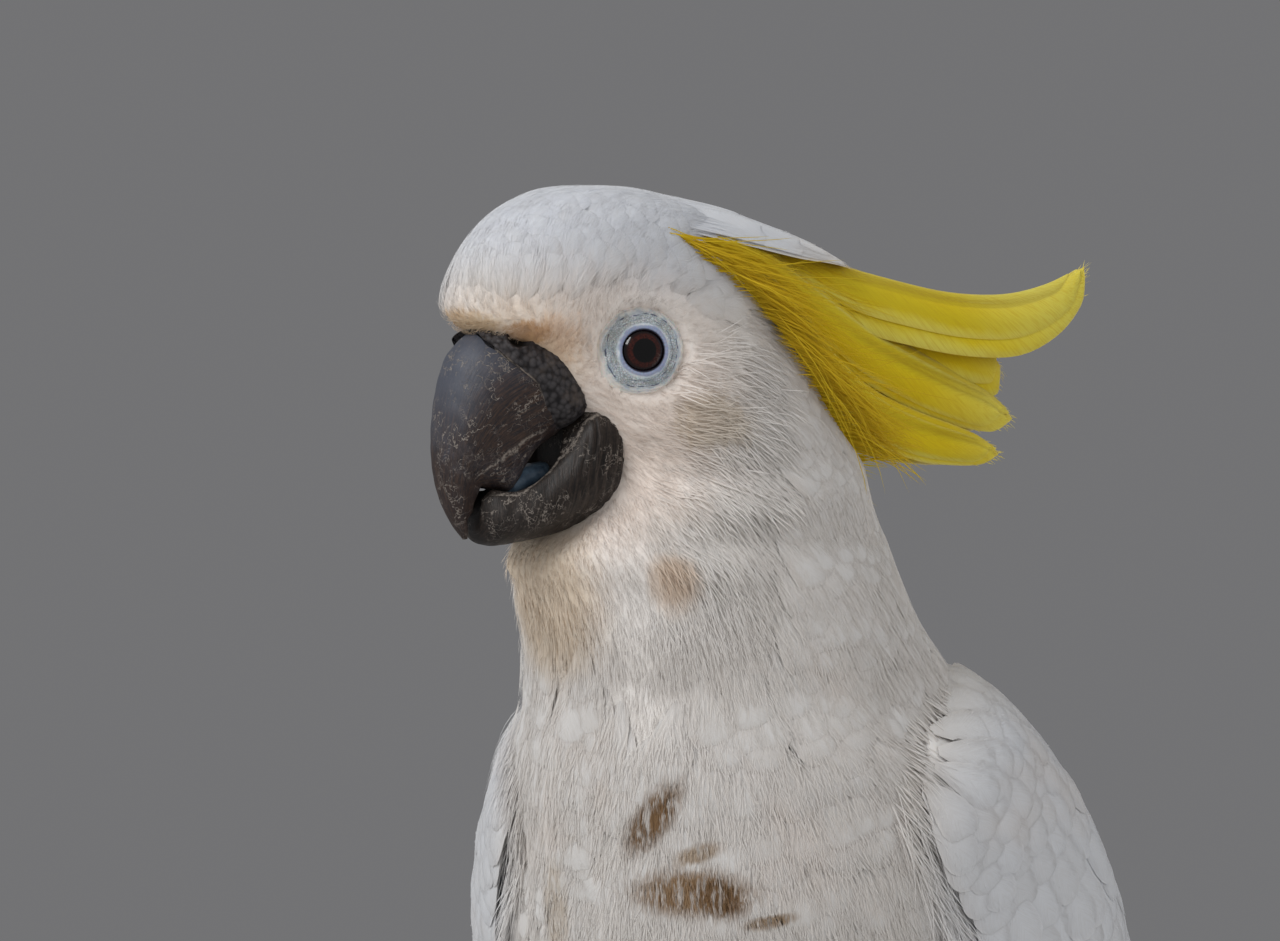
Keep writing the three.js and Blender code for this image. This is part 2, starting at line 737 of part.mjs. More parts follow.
/** Adds the fan of the tail, cut clear of what lies over it. */
function addTail(...rooms) {
  const feathers = [];
  for (let rank = 0; rank < TAIL.pairs; rank++) {
    for (const side of [1, -1]) feathers.push(solidOf(tailFeather(rank, side)));
  }
  bird.add(meshOf("tail", cut(join(...feathers), ...rooms), COLOURS.plumage, 0.8));
}

/** Adds both legs: feathered thigh, bare foot with its shank, and four claws. */
function addLegs(bodyRoom) {
  for (const [suffix, place] of SIDES) {
    const shape = (geometry) => solidOf(place(geometry));
    const toes = TOES.map((one) => shape(toe(one)));
    const toeRooms = TOES.map((one) => roomFor((grow) => toe(one, grow), place));
    const shank = shape(limb(SHANK, SHANK.length - 1, LIMB_SIDES));
    const foot = largest(join(shank, ...toes).trimByPlane([0, 0, 1], 0));
    const shankRoom = roomFor((grow) => limb(SHANK, SHANK.length - 1, LIMB_SIDES, grow), place);
    const thigh = cut(shape(limb(THIGH, THIGH.length - 1, THIGH_SIDES)), bodyRoom, shankRoom);
    bird.add(
      meshOf("thigh" + suffix, thigh, COLOURS.plumage, 0.85),
      meshOf("foot" + suffix, foot, COLOURS.footSkin, 0.6),
    );
    for (const one of TOES) {
      const made = cut(shape(claw(one)), ...toeRooms).trimByPlane([0, 0, 1], 0.05);
      bird.add(meshOf(`claw_${one[0]}${suffix}`, made, COLOURS.horn, 0.4));
    }
  }
}

const bodyRoom = roomFor(bodyForm);
addFlesh(addFace());
addCrest(bodyRoom);
const covertRoom = addTailCoverts(bodyRoom);
const wingRooms = addWings(bodyRoom, covertRoom);
addTail(bodyRoom, covertRoom, ...wingRooms);
addLegs(bodyRoom);

// The part's origin is on the floor, at the middle of the bounding box.
bird.updateMatrixWorld(true);
const extent = new THREE.Box3().setFromObject(bird);
const middle = extent.getCenter(new THREE.Vector3());
bird.position.set(-middle.x, -middle.y, -extent.min.z);

export default bird;
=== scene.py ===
"""A still, life-size sulphur-crested cockatoo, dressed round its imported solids.

The bird stands on the floor and faces -Y, with its left side at +X. Sizes are in millimetres, in the bird's
own frame or, for the head, in the head's: left, forward and up from the point between the eyes. Meshes are
in metres.
"""

import logging
import math
from collections.abc import Callable, Sequence
from dataclasses import dataclass
from enum import Enum
from typing import ClassVar

import bpy
import numpy as np
from mathutils import Matrix, Vector
from mathutils.bvhtree import BVHTree


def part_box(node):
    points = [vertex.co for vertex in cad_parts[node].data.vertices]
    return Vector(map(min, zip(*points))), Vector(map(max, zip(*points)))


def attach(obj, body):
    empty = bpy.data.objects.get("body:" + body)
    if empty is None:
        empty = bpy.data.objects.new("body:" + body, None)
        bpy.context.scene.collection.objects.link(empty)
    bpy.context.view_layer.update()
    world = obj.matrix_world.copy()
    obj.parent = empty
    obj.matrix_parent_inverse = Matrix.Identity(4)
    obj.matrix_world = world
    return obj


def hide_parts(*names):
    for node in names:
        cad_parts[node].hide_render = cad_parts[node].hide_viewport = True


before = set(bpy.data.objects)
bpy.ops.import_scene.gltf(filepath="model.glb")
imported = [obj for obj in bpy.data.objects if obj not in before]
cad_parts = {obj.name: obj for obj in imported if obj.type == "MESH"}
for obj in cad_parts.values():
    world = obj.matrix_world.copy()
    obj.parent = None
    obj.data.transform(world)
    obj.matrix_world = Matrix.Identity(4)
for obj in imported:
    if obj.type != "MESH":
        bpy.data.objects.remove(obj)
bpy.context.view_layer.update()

MM = 0.001
RIGHTWARDS = np.array([1.0, 0.0, 0.0])
UP = np.array([0.0, 0.0, 1.0])
HEAD_TURN = math.radians(-40)
PATCH = 0.003  # breadth of one feather's patch on the unwrap of the skin
LOG = logging.getLogger("cockatoo")

Array = np.ndarray
Colour = tuple[float, float, float]
Spot = tuple[float, float, float]
Choice = Callable[[Array], Array]  # one answer for each of many places
Shape = tuple[Array, Array]  # points and triangles
Draw = np.random.Generator
Material = bpy.types.Material
Piece = bpy.types.Object


class Side(Enum):
    """A side of the bird, by its sign along X."""

    LEFT = 1
    RIGHT = -1

    @property
    def word(self) -> str:
        """Its name in the names of solids."""
        return self.name.lower()


# ---------------------------------------------------------------- small sums


def unit(v: Array) -> Array:
    """Vectors at length one."""
    return v / np.maximum(np.linalg.norm(v, axis=-1, keepdims=True), 1e-12)


def square_to(way: Array, v: Array) -> Array:
    """Unit vectors that lean like `v` but stand square to the unit vectors `way`."""
    return unit(v - way * np.sum(v * way, -1, keepdims=True))


def ramp(x: Array, low: float, high: float) -> Array:
    """A smooth step from 0 at `low` to 1 at `high`."""
    t = np.clip((x - low) / (high - low), 0, 1)
    return t * t * (3 - 2 * t)


def bell(x: Array, breadth: float) -> Array:
    """A hump of height one at zero."""
    return np.exp(-((x / breadth) ** 2))


def circle(count: int) -> Array:
    """Angles evenly round a circle."""
    return np.linspace(0, 2 * math.pi, count, endpoint=False)


def from_top(angle: Array) -> Array:
    """How far angles lie from zero, either way round."""
    return np.abs(np.mod(angle + math.pi, 2 * math.pi) - math.pi)


def smooth_rows(rows: Sequence[Sequence[float]], at: Array) -> Array:
    """Rows of numbers read at row positions on a smooth curve through them.

    Args:
        rows: One row of numbers for each key station.
        at: Positions from 0 to the last row's number.

    Returns:
        An array with the shape of `at` and one more axis, the row.
    """
    keys = np.asarray(rows, float)
    last = len(keys) - 1
    at = np.clip(np.asarray(at, float), 0, last)
    i = np.minimum(at.astype(int), last - 1)
    t = (at - i)[..., None]
    p1, p2 = keys[i], keys[i + 1]
    p0 = np.where((i > 0)[..., None], keys[np.maximum(i - 1, 0)], 2 * p1 - p2)
    p3 = np.where((i < last - 1)[..., None], keys[np.minimum(i + 2, last)], 2 * p2 - p1)
    bend = (2 * p0 - 5 * p1 + 4 * p2 - p3) * t**2
    return 0.5 * (2 * p1 + (p2 - p0) * t + bend + (3 * p1 - p0 - 3 * p2 + p3) * t**3)


def even_rows(rows: Sequence[Sequence[float]], count: int) -> Array:
    """Rows read at so many even steps from the first to the last."""
    return smooth_rows(rows, np.linspace(0, len(rows) - 1, count))


# ---------------------------------------------------------------- where things are


class Bearings:
    """Turns sizes in the bird's and the head's frames into places in the part, by the eyes' own places."""

    HEAD_AT = (-25.0, -48.0, 321.0)  # midline point between the eyes, in the bird's frame
    EYE_FORWARD = 1.1
    EYE_UP = 0.5

    def __init__(self) -> None:
        """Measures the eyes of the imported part."""
        self.forward = np.array([math.sin(HEAD_TURN), -math.cos(HEAD_TURN), 0.0])
        self.left = np.array([math.cos(HEAD_TURN), math.sin(HEAD_TURN), 0.0])
        eyes = [sum(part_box(f"eye_{side}"), Vector()) / 2 for side in ("left", "right")]
        middle = np.array((eyes[0] + eyes[1]) / 2)
        self.head_origin = middle - self.forward * self.EYE_FORWARD * MM - UP * self.EYE_UP * MM
        self.shift = self.head_origin - np.array(self.HEAD_AT) * MM

    def bird(self, points: Sequence | Array) -> Array:
        """Places of points given in the bird's frame, in metres."""
        return np.asarray(points, float) * MM + self.shift

    def in_bird(self, places: Array) -> Array:
        """The same turned round: millimetres in the bird's frame."""
        return (places - self.shift) / MM

    def head(self, points: Sequence | Array) -> Array:
        """Places of points given in the head's frame as (left, forward, up), in metres."""
        p = np.asarray(points, float) * MM
        return self.head_origin + p[..., :1] * self.left + p[..., 1:2] * self.forward + p[..., 2:] * UP

    def in_head(self, places: Array) -> Array:
        """The same turned round: millimetres in the head's frame."""
        p = (places - self.head_origin) / MM
        return np.stack([p @ self.left, p @ self.forward, p[..., 2]], -1)

    def head_way(self, ways: Array) -> Array:
        """Ways given in the head's frame, as ways in the part."""
        return ways[..., :1] * self.left + ways[..., 1:2] * self.forward + ways[..., 2:] * UP


AT = Bearings()


# ---------------------------------------------------------------- meshes


def plain_mesh(name: str, points: Array, faces: Array) -> bpy.types.Mesh:
    """A smooth-shaded mesh of triangles from arrays."""
    mesh = bpy.data.meshes.new(name)
    mesh.vertices.add(len(points))
    mesh.vertices.foreach_set("co", points.astype(np.float32).ravel())
    mesh.loops.add(faces.size)
    mesh.loops.foreach_set("vertex_index", faces.astype(np.int32).ravel())
    mesh.polygons.add(len(faces))
    mesh.polygons.foreach_set("loop_start", np.arange(0, faces.size, 3, dtype=np.int32))
    mesh.polygons.foreach_set("loop_total", np.full(len(faces), 3, np.int32))
    mesh.update(calc_edges=True)
    return mesh


def store(mesh: bpy.types.Mesh, name: str, kind: str, values: Array) -> None:
    """Gives a mesh values of its own.

    Args:
        mesh: The mesh.
        name: What the values are called.
        kind: "MAP" for a flat place at each corner, or the kind of attribute at each point.
        values: The values.
    """
    if kind == "MAP":
        layer, word = mesh.uv_layers.new(name=name), "uv"
    else:
        layer, word = mesh.attributes.new(name, kind, "POINT"), "vector" if "VECTOR" in kind else "value"
    layer.data.foreach_set(word, values.astype(np.float32).ravel())


def crease(mesh: bpy.types.Mesh, rims: Array) -> None:
    """Keeps the edges between rim points sharp."""
    a, b = edges_of(mesh)
    sharp = mesh.attributes.new("sharp_edge", "BOOLEAN", "EDGE")
    sharp.data.foreach_set("value", rims[a] & rims[b])


def edges_of(mesh: bpy.types.Mesh) -> tuple[Array, Array]:
    """The two ends of every edge."""
    ends = np.zeros(len(mesh.edges) * 2, np.int32)
    mesh.edges.foreach_get("vertices", ends)
    return ends[::2], ends[1::2]


def points_of(mesh: bpy.types.Mesh) -> Array:
    """A mesh's points."""
    points = np.zeros(len(mesh.vertices) * 3, np.float32)
    mesh.vertices.foreach_get("co", points)
    return points.reshape(-1, 3).astype(float)


def arrays_of(mesh: bpy.types.Mesh) -> Shape:
    """A mesh's points and its triangles."""
    mesh.calc_loop_triangles()
    faces = np.zeros(len(mesh.loop_triangles) * 3, np.int32)
    mesh.loop_triangles.foreach_get("vertices", faces)
    return points_of(mesh), faces.reshape(-1, 3)


def link(mesh: bpy.types.Mesh, material: Material | None = None) -> Piece:
    """A scene object for a mesh, under the mesh's own name."""
    made = bpy.data.objects.new(mesh.name, mesh)
    bpy.context.scene.collection.objects.link(made)
    if material:
        mesh.materials.append(material)
    return made


def seat(piece: Piece, slot: str, *nodes: str) -> None:
    """Rides a finished piece on the part, hides the solids it stands for, and reports it."""
    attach(piece, "root")
    if nodes:
        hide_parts(*nodes)
    LOG.info("%s: %d faces", piece.name, len(piece.data.polygons))


def apply_modifiers(piece: Piece) -> None:
    """Turns a piece and its modifiers into a plain mesh."""
    graph = bpy.context.evaluated_depsgraph_get()
    shown = piece.evaluated_get(graph)
    mesh = bpy.data.meshes.new_from_object(shown, preserve_all_data_layers=True, depsgraph=graph)
    piece.modifiers.clear()
    piece.data = mesh


def outward(points: Array, faces: Array) -> Array:
    """The faces, turned round if the closed shape they make round its own middle is inside out."""
    points = points - points.mean(0)
    a, b, c = (points[faces[:, i]] for i in range(3))
    return faces if np.einsum("ij,ij->i", a, np.cross(b, c)).sum() > 0 else faces[:, ::-1]


def loft_faces(rings: int, around: int) -> Array:
    """Triangles of a closed loft.

    Args:
        rings: How many rings it has.
        around: Points in each ring.

    Returns:
        The faces, for a centre point, all the rings, and a centre point after the last.
    """
    faces = []
    end = 1 + (rings - 1) * around
    for k in range(around):
        after = (k + 1) % around
        faces.append((0, 1 + after, 1 + k))
        for r in range(rings - 1):
            a, b = 1 + r * around + k, 1 + r * around + after
            faces += [(a, b, b + around), (a, b + around, a + around)]
        faces.append((end + around, end + k, end + after))
    return np.array(faces)


def loft(rings: Array) -> Shape:
    """The closed shape through rings of points, (rings, around, 3), with its faces outwards."""
    points = np.concatenate([rings[0].mean(0)[None], rings.reshape(-1, 3), rings[-1].mean(0)[None]])
    return points, outward(points, loft_faces(*rings.shape[:2]))


def limb_rings(keys: Sequence[Sequence[float]], steps: int, sides: int) -> Array:
    """Round rings along a smooth curve.

    Args:
        keys: Rows of (x, y, z, radius).
        steps: Steps from the first ring to the last.
        sides: Points in each ring.

    Returns:
        The rings, in the keys' own units.
    """
    rows = even_rows(keys, steps + 1)
    centres = rows[:, :3]
    along = unit(np.gradient(centres, axis=-2))
    across = square_to(along, RIGHTWARDS)
    over = np.cross(along, across)
    angle = circle(sides)
    spokes = across[:, None] * np.cos(angle)[None, :, None] + over[:, None] * np.sin(angle)[None, :, None]
    return centres[:, None] + spokes * rows[:, None, 3:4]


class Soup:
    """Gathers closed shapes by the batch and makes one mesh of them."""

    def __init__(self) -> None:
        """Starts empty."""
        self.batches: list[tuple[Array, ...]] = []
        self.count = 0

    def add(
        self,
        points: Array,
        faces: Array,
        roots: Array,
        vane: Array | float = 0.0,
        tone: Array | float = 0.5,
        rim: Array | bool = False,
    ) -> None:
        """Adds a batch of shapes that share one set of faces.

        Args:
            points: Shape (batch, points, 3), in metres.
            faces: Triangles of one shape.
            roots: Each shape's place on the unwrap, (batch, 2).
            vane: Place across the feather from 0 to 1 and along it in centimetres, (batch, points, 2).
            tone: One value from 0 to 1 for each shape.
            rim: Which points of one shape lie on its thin edge.
        """
        batch, n = points.shape[:2]
        if not batch:
            return
        vane = np.broadcast_to(vane, (batch, n, 2))
        faces = outward(points[0], faces)
        reach = np.abs(vane[..., 1]).max() or 1.0
        local = np.stack([vane[..., 0] - 0.5, vane[..., 1] / reach - 0.5], -1)
        faces = (faces[None] + self.count + np.arange(batch)[:, None, None] * n).reshape(-1, 3)
        bake = (roots[:, None] + local * PATCH).reshape(-1, 2)
        tones = np.repeat(np.broadcast_to(tone, batch), n)
        rims = np.tile(np.broadcast_to(rim, n), batch)
        self.batches.append((points.reshape(-1, 3), faces, bake, vane.reshape(-1, 2), tones, rims))
        self.count += batch * n

    def barbs(
        self,
        paths: Array,
        normals: Array,
        half: float,
        roots: Array,
        tone: Array | float,
        along: Array | float = 2.0,
    ) -> None:
        """Adds thin closed three-sided barbs.

        Args:
            paths: Their middle lines, (barbs, stations, 3), in metres.
            normals: Which way is up, (barbs, 3).
            half: Half breadth of each at its widest, in millimetres.
            roots: Each one's place on the unwrap.
            tone: Each one's tone.
            along: Centimetres along the feather that each one stands at.
        """
        count, stations = paths.shape[:2]
        tangents = unit(np.gradient(paths, axis=-2))[:, 1:-1]
        up = square_to(tangents, normals[:, None])
        side = np.cross(tangents, up)
        reach = half * MM * (np.linspace(1.0, 0.55, stations - 2)[:, None] if stations > 3 else 1.0)
        middle = paths[:, 1:-1]
        low = middle - up * reach * 0.15
        ring = np.stack([low + side * reach, middle + up * reach * 0.3, low - side * reach], 2)
        points = np.concatenate([paths[:, :1], ring.reshape(count, -1, 3), paths[:, -1:]], 1)
        vane = np.full((count, points.shape[1], 2), 0.8)
        vane[..., 1] = np.asarray(along)[..., None]
        rim = np.array([True] + [True, False, True] * (stations - 2) + [True])
        self.add(points, loft_faces(stations - 2, 3), roots, vane, tone, rim)

    def mesh(self, name: str) -> bpy.types.Mesh:
        """One mesh of all that was added, with its maps, tones and sharp rims."""
        points, faces, bake, vane, tones, rims = (np.concatenate(part) for part in zip(*self.batches))
        mesh = plain_mesh(name, points, faces)
        store(mesh, "OFBake", "MAP", bake[faces.ravel()])
        store(mesh, "Vane", "MAP", vane[faces.ravel()])
        store(mesh, "tone", "FLOAT", tones)
        crease(mesh, rims)
        return mesh


# ---------------------------------------------------------------- shader words


class Wire:
    """An output of a material's node, with arithmetic that adds the nodes for it."""

    def __init__(self, sheet: "Sheet", socket: bpy.types.NodeSocket) -> None:
        """Wraps one output socket of a sheet's node."""
        self.sheet = sheet
        self.socket = socket

    def sum(self, operation: str, *terms: object) -> "Wire":
        """A Math node over the terms."""
        return self.sheet.wire("ShaderNodeMath", {"operation": operation}, dict(enumerate(terms)))

    def __add__(self, other: "Wire | float") -> "Wire":
        """self + other."""
        return self.sum("ADD", self, other)

    __radd__ = __add__

    def __sub__(self, other: "Wire | float") -> "Wire":
        """self - other."""
        return self.sum("SUBTRACT", self, other)

    def __rsub__(self, other: float) -> "Wire":
        """other - self."""
        return self.sum("SUBTRACT", other, self)

    def __mul__(self, other: "Wire | float") -> "Wire":
        """self * other."""
        return self.sum("MULTIPLY", self, other)

    __rmul__ = __mul__

    def __truediv__(self, other: "Wire | float") -> "Wire":
        """self / other."""
        return self.sum("DIVIDE", self, other)

    def __rtruediv__(self, other: float) -> "Wire":
        """other / self."""
        return self.sum("DIVIDE", other, self)

    def __pow__(self, other: float) -> "Wire":
        """self ** other."""
        return self.sum("POWER", self, other)

    def most(self, other: "Wire | float") -> "Wire":
        """The greater of the two."""
        return self.sum("MAXIMUM", self, other)

    def size(self) -> "Wire":
        """Its size without its sign."""
        return self.sum("ABSOLUTE", self)

    def step(self, low: float, high: float, out_low: float = 0.0, out_high: float = 1.0) -> "Wire":
        """A smooth step between two values."""
        values = {"Value": self, "From Min": low, "From Max": high, "To Min": out_low, "To Max": out_high}
        return self.sheet.wire("ShaderNodeMapRange", {"interpolation_type": "SMOOTHSTEP"}, values)


class Sheet:
    """One node tree while it is being written."""

    def __init__(self, tree: bpy.types.NodeTree) -> None:
        """Starts afresh on a tree."""
        self.tree = tree
        tree.nodes.clear()

    def node(self, kind: str, settings: dict | None = None, values: dict | None = None) -> bpy.types.Node:
        """Adds a node.

        Args:
            kind: The node's type.
            settings: Its own properties.
            values: What goes into its sockets, by name or number: a Wire, a number or a tuple.

        Returns:
            The node.
        """
        made = self.tree.nodes.new(kind)
        for key, value in (settings or {}).items():
            setattr(made, key, value)
        for key, value in (values or {}).items():
            if isinstance(value, Wire):
                self.tree.links.new(value.socket, made.inputs[key])
            else:
                made.inputs[key].default_value = value
        return made

    def wire(
        self, kind: str, settings: dict | None = None, values: dict | None = None, output: str | int = 0
    ) -> Wire:
        """Adds a node and returns one of its outputs."""
        return Wire(self, self.node(kind, settings, values).outputs[output])

    def vector(self, *parts: Wire | float) -> Wire:
        """A vector of three numbers."""
        return self.wire("ShaderNodeCombineXYZ", None, dict(enumerate(parts)))

    def sums(self, operation: str, *vectors: "Wire | Sequence[float]", output: str | int = 0) -> Wire:
        """A Vector Math node over the vectors."""
        return self.wire("ShaderNodeVectorMath", {"operation": operation}, dict(enumerate(vectors)), output)


class Paint(Sheet):
    """One procedural material while it is being written."""

    def __init__(self, name: str) -> None:
        """Starts a material with no nodes but the one that gives a point's place."""
        self.material = bpy.data.materials.new(name)
        self.material.use_nodes = True
        super().__init__(self.material.node_tree)
        self.place = self.wire("ShaderNodeTexCoord", output="Object")

    def map(self, name: str) -> tuple[Wire, Wire, Wire]:
        """Where a point is on one of the piece's own maps."""
        return self.parts(self.wire("ShaderNodeUVMap", {"uv_map": name}))

    def tone(self) -> Wire:
        """The tone of one of the piece's feathers."""
        return self.wire("ShaderNodeAttribute", {"attribute_name": "tone"}, None, "Fac")

    def parts(self, vector: Wire) -> tuple[Wire, Wire, Wire]:
        """The three numbers of a vector."""
        return tuple(Wire(self, out) for out in self.node("ShaderNodeSeparateXYZ", None, {0: vector}).outputs)

    def moved(self, at: Sequence[float], turn: Sequence[float], size: Sequence[float]) -> Wire:
        """The place as seen from a spot that is moved, turned and scaled."""
        values = {"Vector": self.place, "Location": tuple(at), "Rotation": tuple(turn), "Scale": tuple(size)}
        return self.wire("ShaderNodeMapping", {"vector_type": "TEXTURE"}, values)

    def length(self, vector: Wire) -> Wire:
        """The length of a vector."""
        return self.sums("LENGTH", vector, output="Value")

    def noise(self, scale: float, detail: float = 2.0, rough: float = 0.5, over: Wire | None = None) -> Wire:
        """Cloudy noise from 0 to 1, over the place unless another vector is given."""
        values = {"Vector": over or self.place, "Scale": scale, "Detail": detail, "Roughness": rough}
        return self.wire("ShaderNodeTexNoise", None, values)

    def cells(self, scale: float, over: Wire | None = None, feature: str = "DISTANCE_TO_EDGE") -> Wire:
        """Distance inside the cells of a cracked or pebbled surface."""
        values = {"Vector": over or self.place, "Scale": scale}
        return self.wire("ShaderNodeTexVoronoi", {"feature": feature}, values, "Distance")

    def stain(self, at: Array, size: Sequence[float], turn: Sequence[float], edge: Wire | float) -> Wire:
        """A soft-edged spot from 1 at its middle to 0 outside.

        Args:
            at: The spot's middle, in metres.
            size: Its half sizes, in millimetres.
            turn: Its turn, in degrees about x, y and z.
            edge: What is added to the distance from the middle, to break the edge up.

        Returns:
            The spot's strength.
        """
        seen = self.moved(at, [math.radians(a) for a in turn], [s * MM for s in size])
        return (self.length(seen) + edge).step(1.15, 0.55)

    def mix(self, factor: Wire | float, low: Wire | Colour, high: Wire | Colour, blend: str = "MIX") -> Wire:
        """A blend of two colours."""
        ends = [c if isinstance(c, Wire) else (*c, 1.0) for c in (low, high)]
        settings = {"data_type": "RGBA", "blend_type": blend}
        return self.wire("ShaderNodeMix", settings, {0: factor, 6: ends[0], 7: ends[1]}, 2)

    def finish(self, colour: Wire, height: Wire | None = None, depth: float = 0, **more: object) -> Material:
        """Closes the material with a Principled surface.

        Args:
            colour: Its colour.
            height: Its relief, from 0 to 1.
            depth: How deep the relief is, in millimetres.
            **more: What goes into its other sockets; `_` stands for a space.

        Returns:
            The material.
        """
        values = {key.replace("_", " "): value for key, value in more.items()}
        if height:
            values["Normal"] = self.wire("ShaderNodeBump", None, {"Height": height, "Distance": depth * MM})
        surface = self.wire("ShaderNodeBsdfPrincipled", None, values | {"Base Color": colour})
        self.node("ShaderNodeOutputMaterial", None, {"Surface": surface})
        return self.material


# ---------------------------------------------------------------- finishes of the plumage


@dataclass(frozen=True)
class Mark:
    """A soft spot on the plumage: its middle, half sizes and turn, and what it is tinted with."""

    at: Spot
    size: Spot
    colour: Colour
    weight: float = 1.0
    turn: Spot = (0.0, 0.0, 0.0)
    ragged: float = 0.35  # how far noise breaks its edge up


# the white of the wings, and the crown's painted tint of cool light from above
COOL_WHITE = (0.815, 0.835, 0.885)
NECK_WHITE = (0.852, 0.818, 0.788)
BLUSH = (0.87, 0.765, 0.69)
PAINTED_BARB_SHADE = (0.90, 0.885, 0.865)  # painted shade between the barbs, multiplied into the white
HEAD_TURNED = (0.0, 0.0, -40.0)
MARKS = (  # in the head's frame
    Mark((0, 8, -14), (41, 38, 42), BLUSH, 0.9, HEAD_TURNED),
    Mark((0, 24, 2), (22, 19, 19), (0.86, 0.68, 0.50), 0.75, HEAD_TURNED),
    Mark((13.5, 21, 3.5), (10, 9, 8), (0.74, 0.50, 0.32), 0.5, HEAD_TURNED, 1.4),
    Mark((-13.5, 21, 3.5), (10, 9, 8), (0.74, 0.50, 0.32), 0.5, HEAD_TURNED, 1.4),
    Mark((12, 26.5, 5.5), (6, 6, 3.6), (0.50, 0.26, 0.10), 0.7, HEAD_TURNED, 1.4),
    Mark((-12, 26.5, 5.5), (6, 6, 3.6), (0.50, 0.26, 0.10), 0.7, HEAD_TURNED, 1.4),
    Mark((0, 37, 6.5), (15, 8, 4.2), (0.66, 0.45, 0.22), 0.6, HEAD_TURNED, 1.2),
    # the throat: a warm tint, made darker as painted shade under the chin
    Mark((0, 14, -54), (20, 20, 22), (0.75, 0.62, 0.47), 0.8, HEAD_TURNED),
    Mark((27, -14, -15.5), (9, 9, 6), (0.62, 0.50, 0.33), 0.38, HEAD_TURNED, 1.8),
    Mark((-27, -14, -15.5), (9, 9, 6), (0.62, 0.50, 0.33), 0.38, HEAD_TURNED, 1.8),
    Mark((32.5, 0.8, -50.7), (8, 8, 10), (0.70, 0.52, 0.37), 0.75, HEAD_TURNED),
)
DIRT = (  # in the bird's frame
    Mark((-6.5, -66, 217), (11.5, 14, 5), (0.24, 0.135, 0.06), 1.0, (0, -50, 0), 0.9),
    Mark((3, -66, 200), (17, 14, 6), (0.33, 0.20, 0.10), 1.0, (0, 0, 0), 0.9),
    Mark((9, -66, 199), (7, 14, 5), (0.22, 0.12, 0.05), 1.0, (0, 20, 0), 0.9),
    Mark((4, -66, 209), (6, 14, 2.2), (0.42, 0.29, 0.17), 0.8, (0, -18, 0), 0.9),
    Mark((20, -62, 194), (7, 14, 1.8), (0.36, 0.23, 0.12), 0.9, (0, -12, 0), 0.9),
    # a warm brownish strip along the creases at the right side of the breast, by the wing
    Mark((-34, -52, 196), (4, 14, 14), (0.62, 0.50, 0.36), 0.5, (0, 0, 0), 0.5),
)


def plumage_colour(sheet: Paint) -> Wire:
    """The white of skin and coat alike, with its blush, stains and dirt, a painted cool tint of light from
    above on the crown, and painted shade under the chin.

    Args:
        sheet: The material being written.

    Returns:
        The colour.
    """
    broad = sheet.noise(30, 3, 0.55)
    grain = sheet.noise(700, 2, 0.65, sheet.moved((0, 0, 0), (0, 0, 0), (1, 1, 3.2)))
    # painted light: the crown turns a cooler white, for the cool light that falls on it from above
    top = sheet.stain(AT.head([0, -8, 32]), (44, 60, 24), HEAD_TURNED, broad * 0.5 - 0.25)
    colour = sheet.mix(top, NECK_WHITE, COOL_WHITE)
    wings = sheet.parts(sheet.place)[0].size().step(0.045, 0.062)
    colour = sheet.mix(wings * 0.8, colour, COOL_WHITE)
    colour = sheet.mix(broad.step(0.5, 0.75) * 0.35, colour, BLUSH)
    for mark in MARKS:
        edge = (broad - 0.5) * mark.ragged + (grain - 0.5) * (mark.ragged * 0.7)
        spot = sheet.stain(AT.head(mark.at), mark.size, mark.turn, edge)
        colour = sheet.mix(spot * mark.weight, colour, mark.colour)
    for mark in DIRT:
        edge = (grain - 0.5) * (mark.ragged * 1.6) + (broad - 0.5) * 0.6
        spot = sheet.stain(AT.bird(mark.at), mark.size, mark.turn, edge)
        clumped = spot * grain.step(0.36, 0.56, 0.25, 1.0)
        colour = sheet.mix(clumped * mark.weight, colour, mark.colour)
    return colour


@dataclass(frozen=True)
class Vaned:
    """The finish of a feather with a shaft and barbs."""

    name: str
    breadth: float  # of a feather, in centimetres
    barb_depth: float = 0.05
    roughness: float = 0.75
    sheen: float = 0.1
    glow: float = 0.35  # how much light passes inside it

    def colour(self, sheet: Paint, lines: Wire, off: Wire, along: Wire) -> tuple[Wire, Wire]:
        """White plumage in the markings that the skin has too, with painted shade between the barbs.

        Args:
            sheet: The material being written.
            lines: The fine lines of the barbs.
            off: Distance from the shaft, as a share of the half breadth.
            along: Centimetres from the root; not used by the white finish, only by the yellow one.

        Returns:
            The colour and the relief.
        """
        colour = plumage_colour(sheet)
        # painted shade: the white darkens along the barb lines, where the relief is low, mixed with each
        # feather's random tone
        shade = (lines.step(0.34, 0.6) + sheet.tone()) * 0.5
        deep = sheet.mix(1.0, colour, PAINTED_BARB_SHADE, "MULTIPLY")
        return sheet.mix(shade, deep, colour), lines * 0.8 + off * 0.2

    def material(self) -> Material:
        """Barbs that leave the shaft at a slant, in the finish's own colour."""
        sheet = Paint(self.name)
        across, along, _ = sheet.map("Vane")
        off = (across - 0.5).size() * self.breadth
        slanted = sheet.vector((along - off * 1.1) * 22, off * 2.5, sheet.tone() * 40)
        lines = sheet.noise(1.0, 2, 0.6, slanted)
        colour, height = self.colour(sheet, lines, off * (2 / self.breadth), along)
        return sheet.finish(
            colour,
            height,
            self.barb_depth,
            Roughness=self.roughness,
            Sheen_Weight=self.sheen,
            Specular_IOR_Level=0.3,
            Subsurface_Weight=self.glow,
            Subsurface_Radius=(1.0, 0.9, 0.8),
            Subsurface_Scale=0.0016,
        )


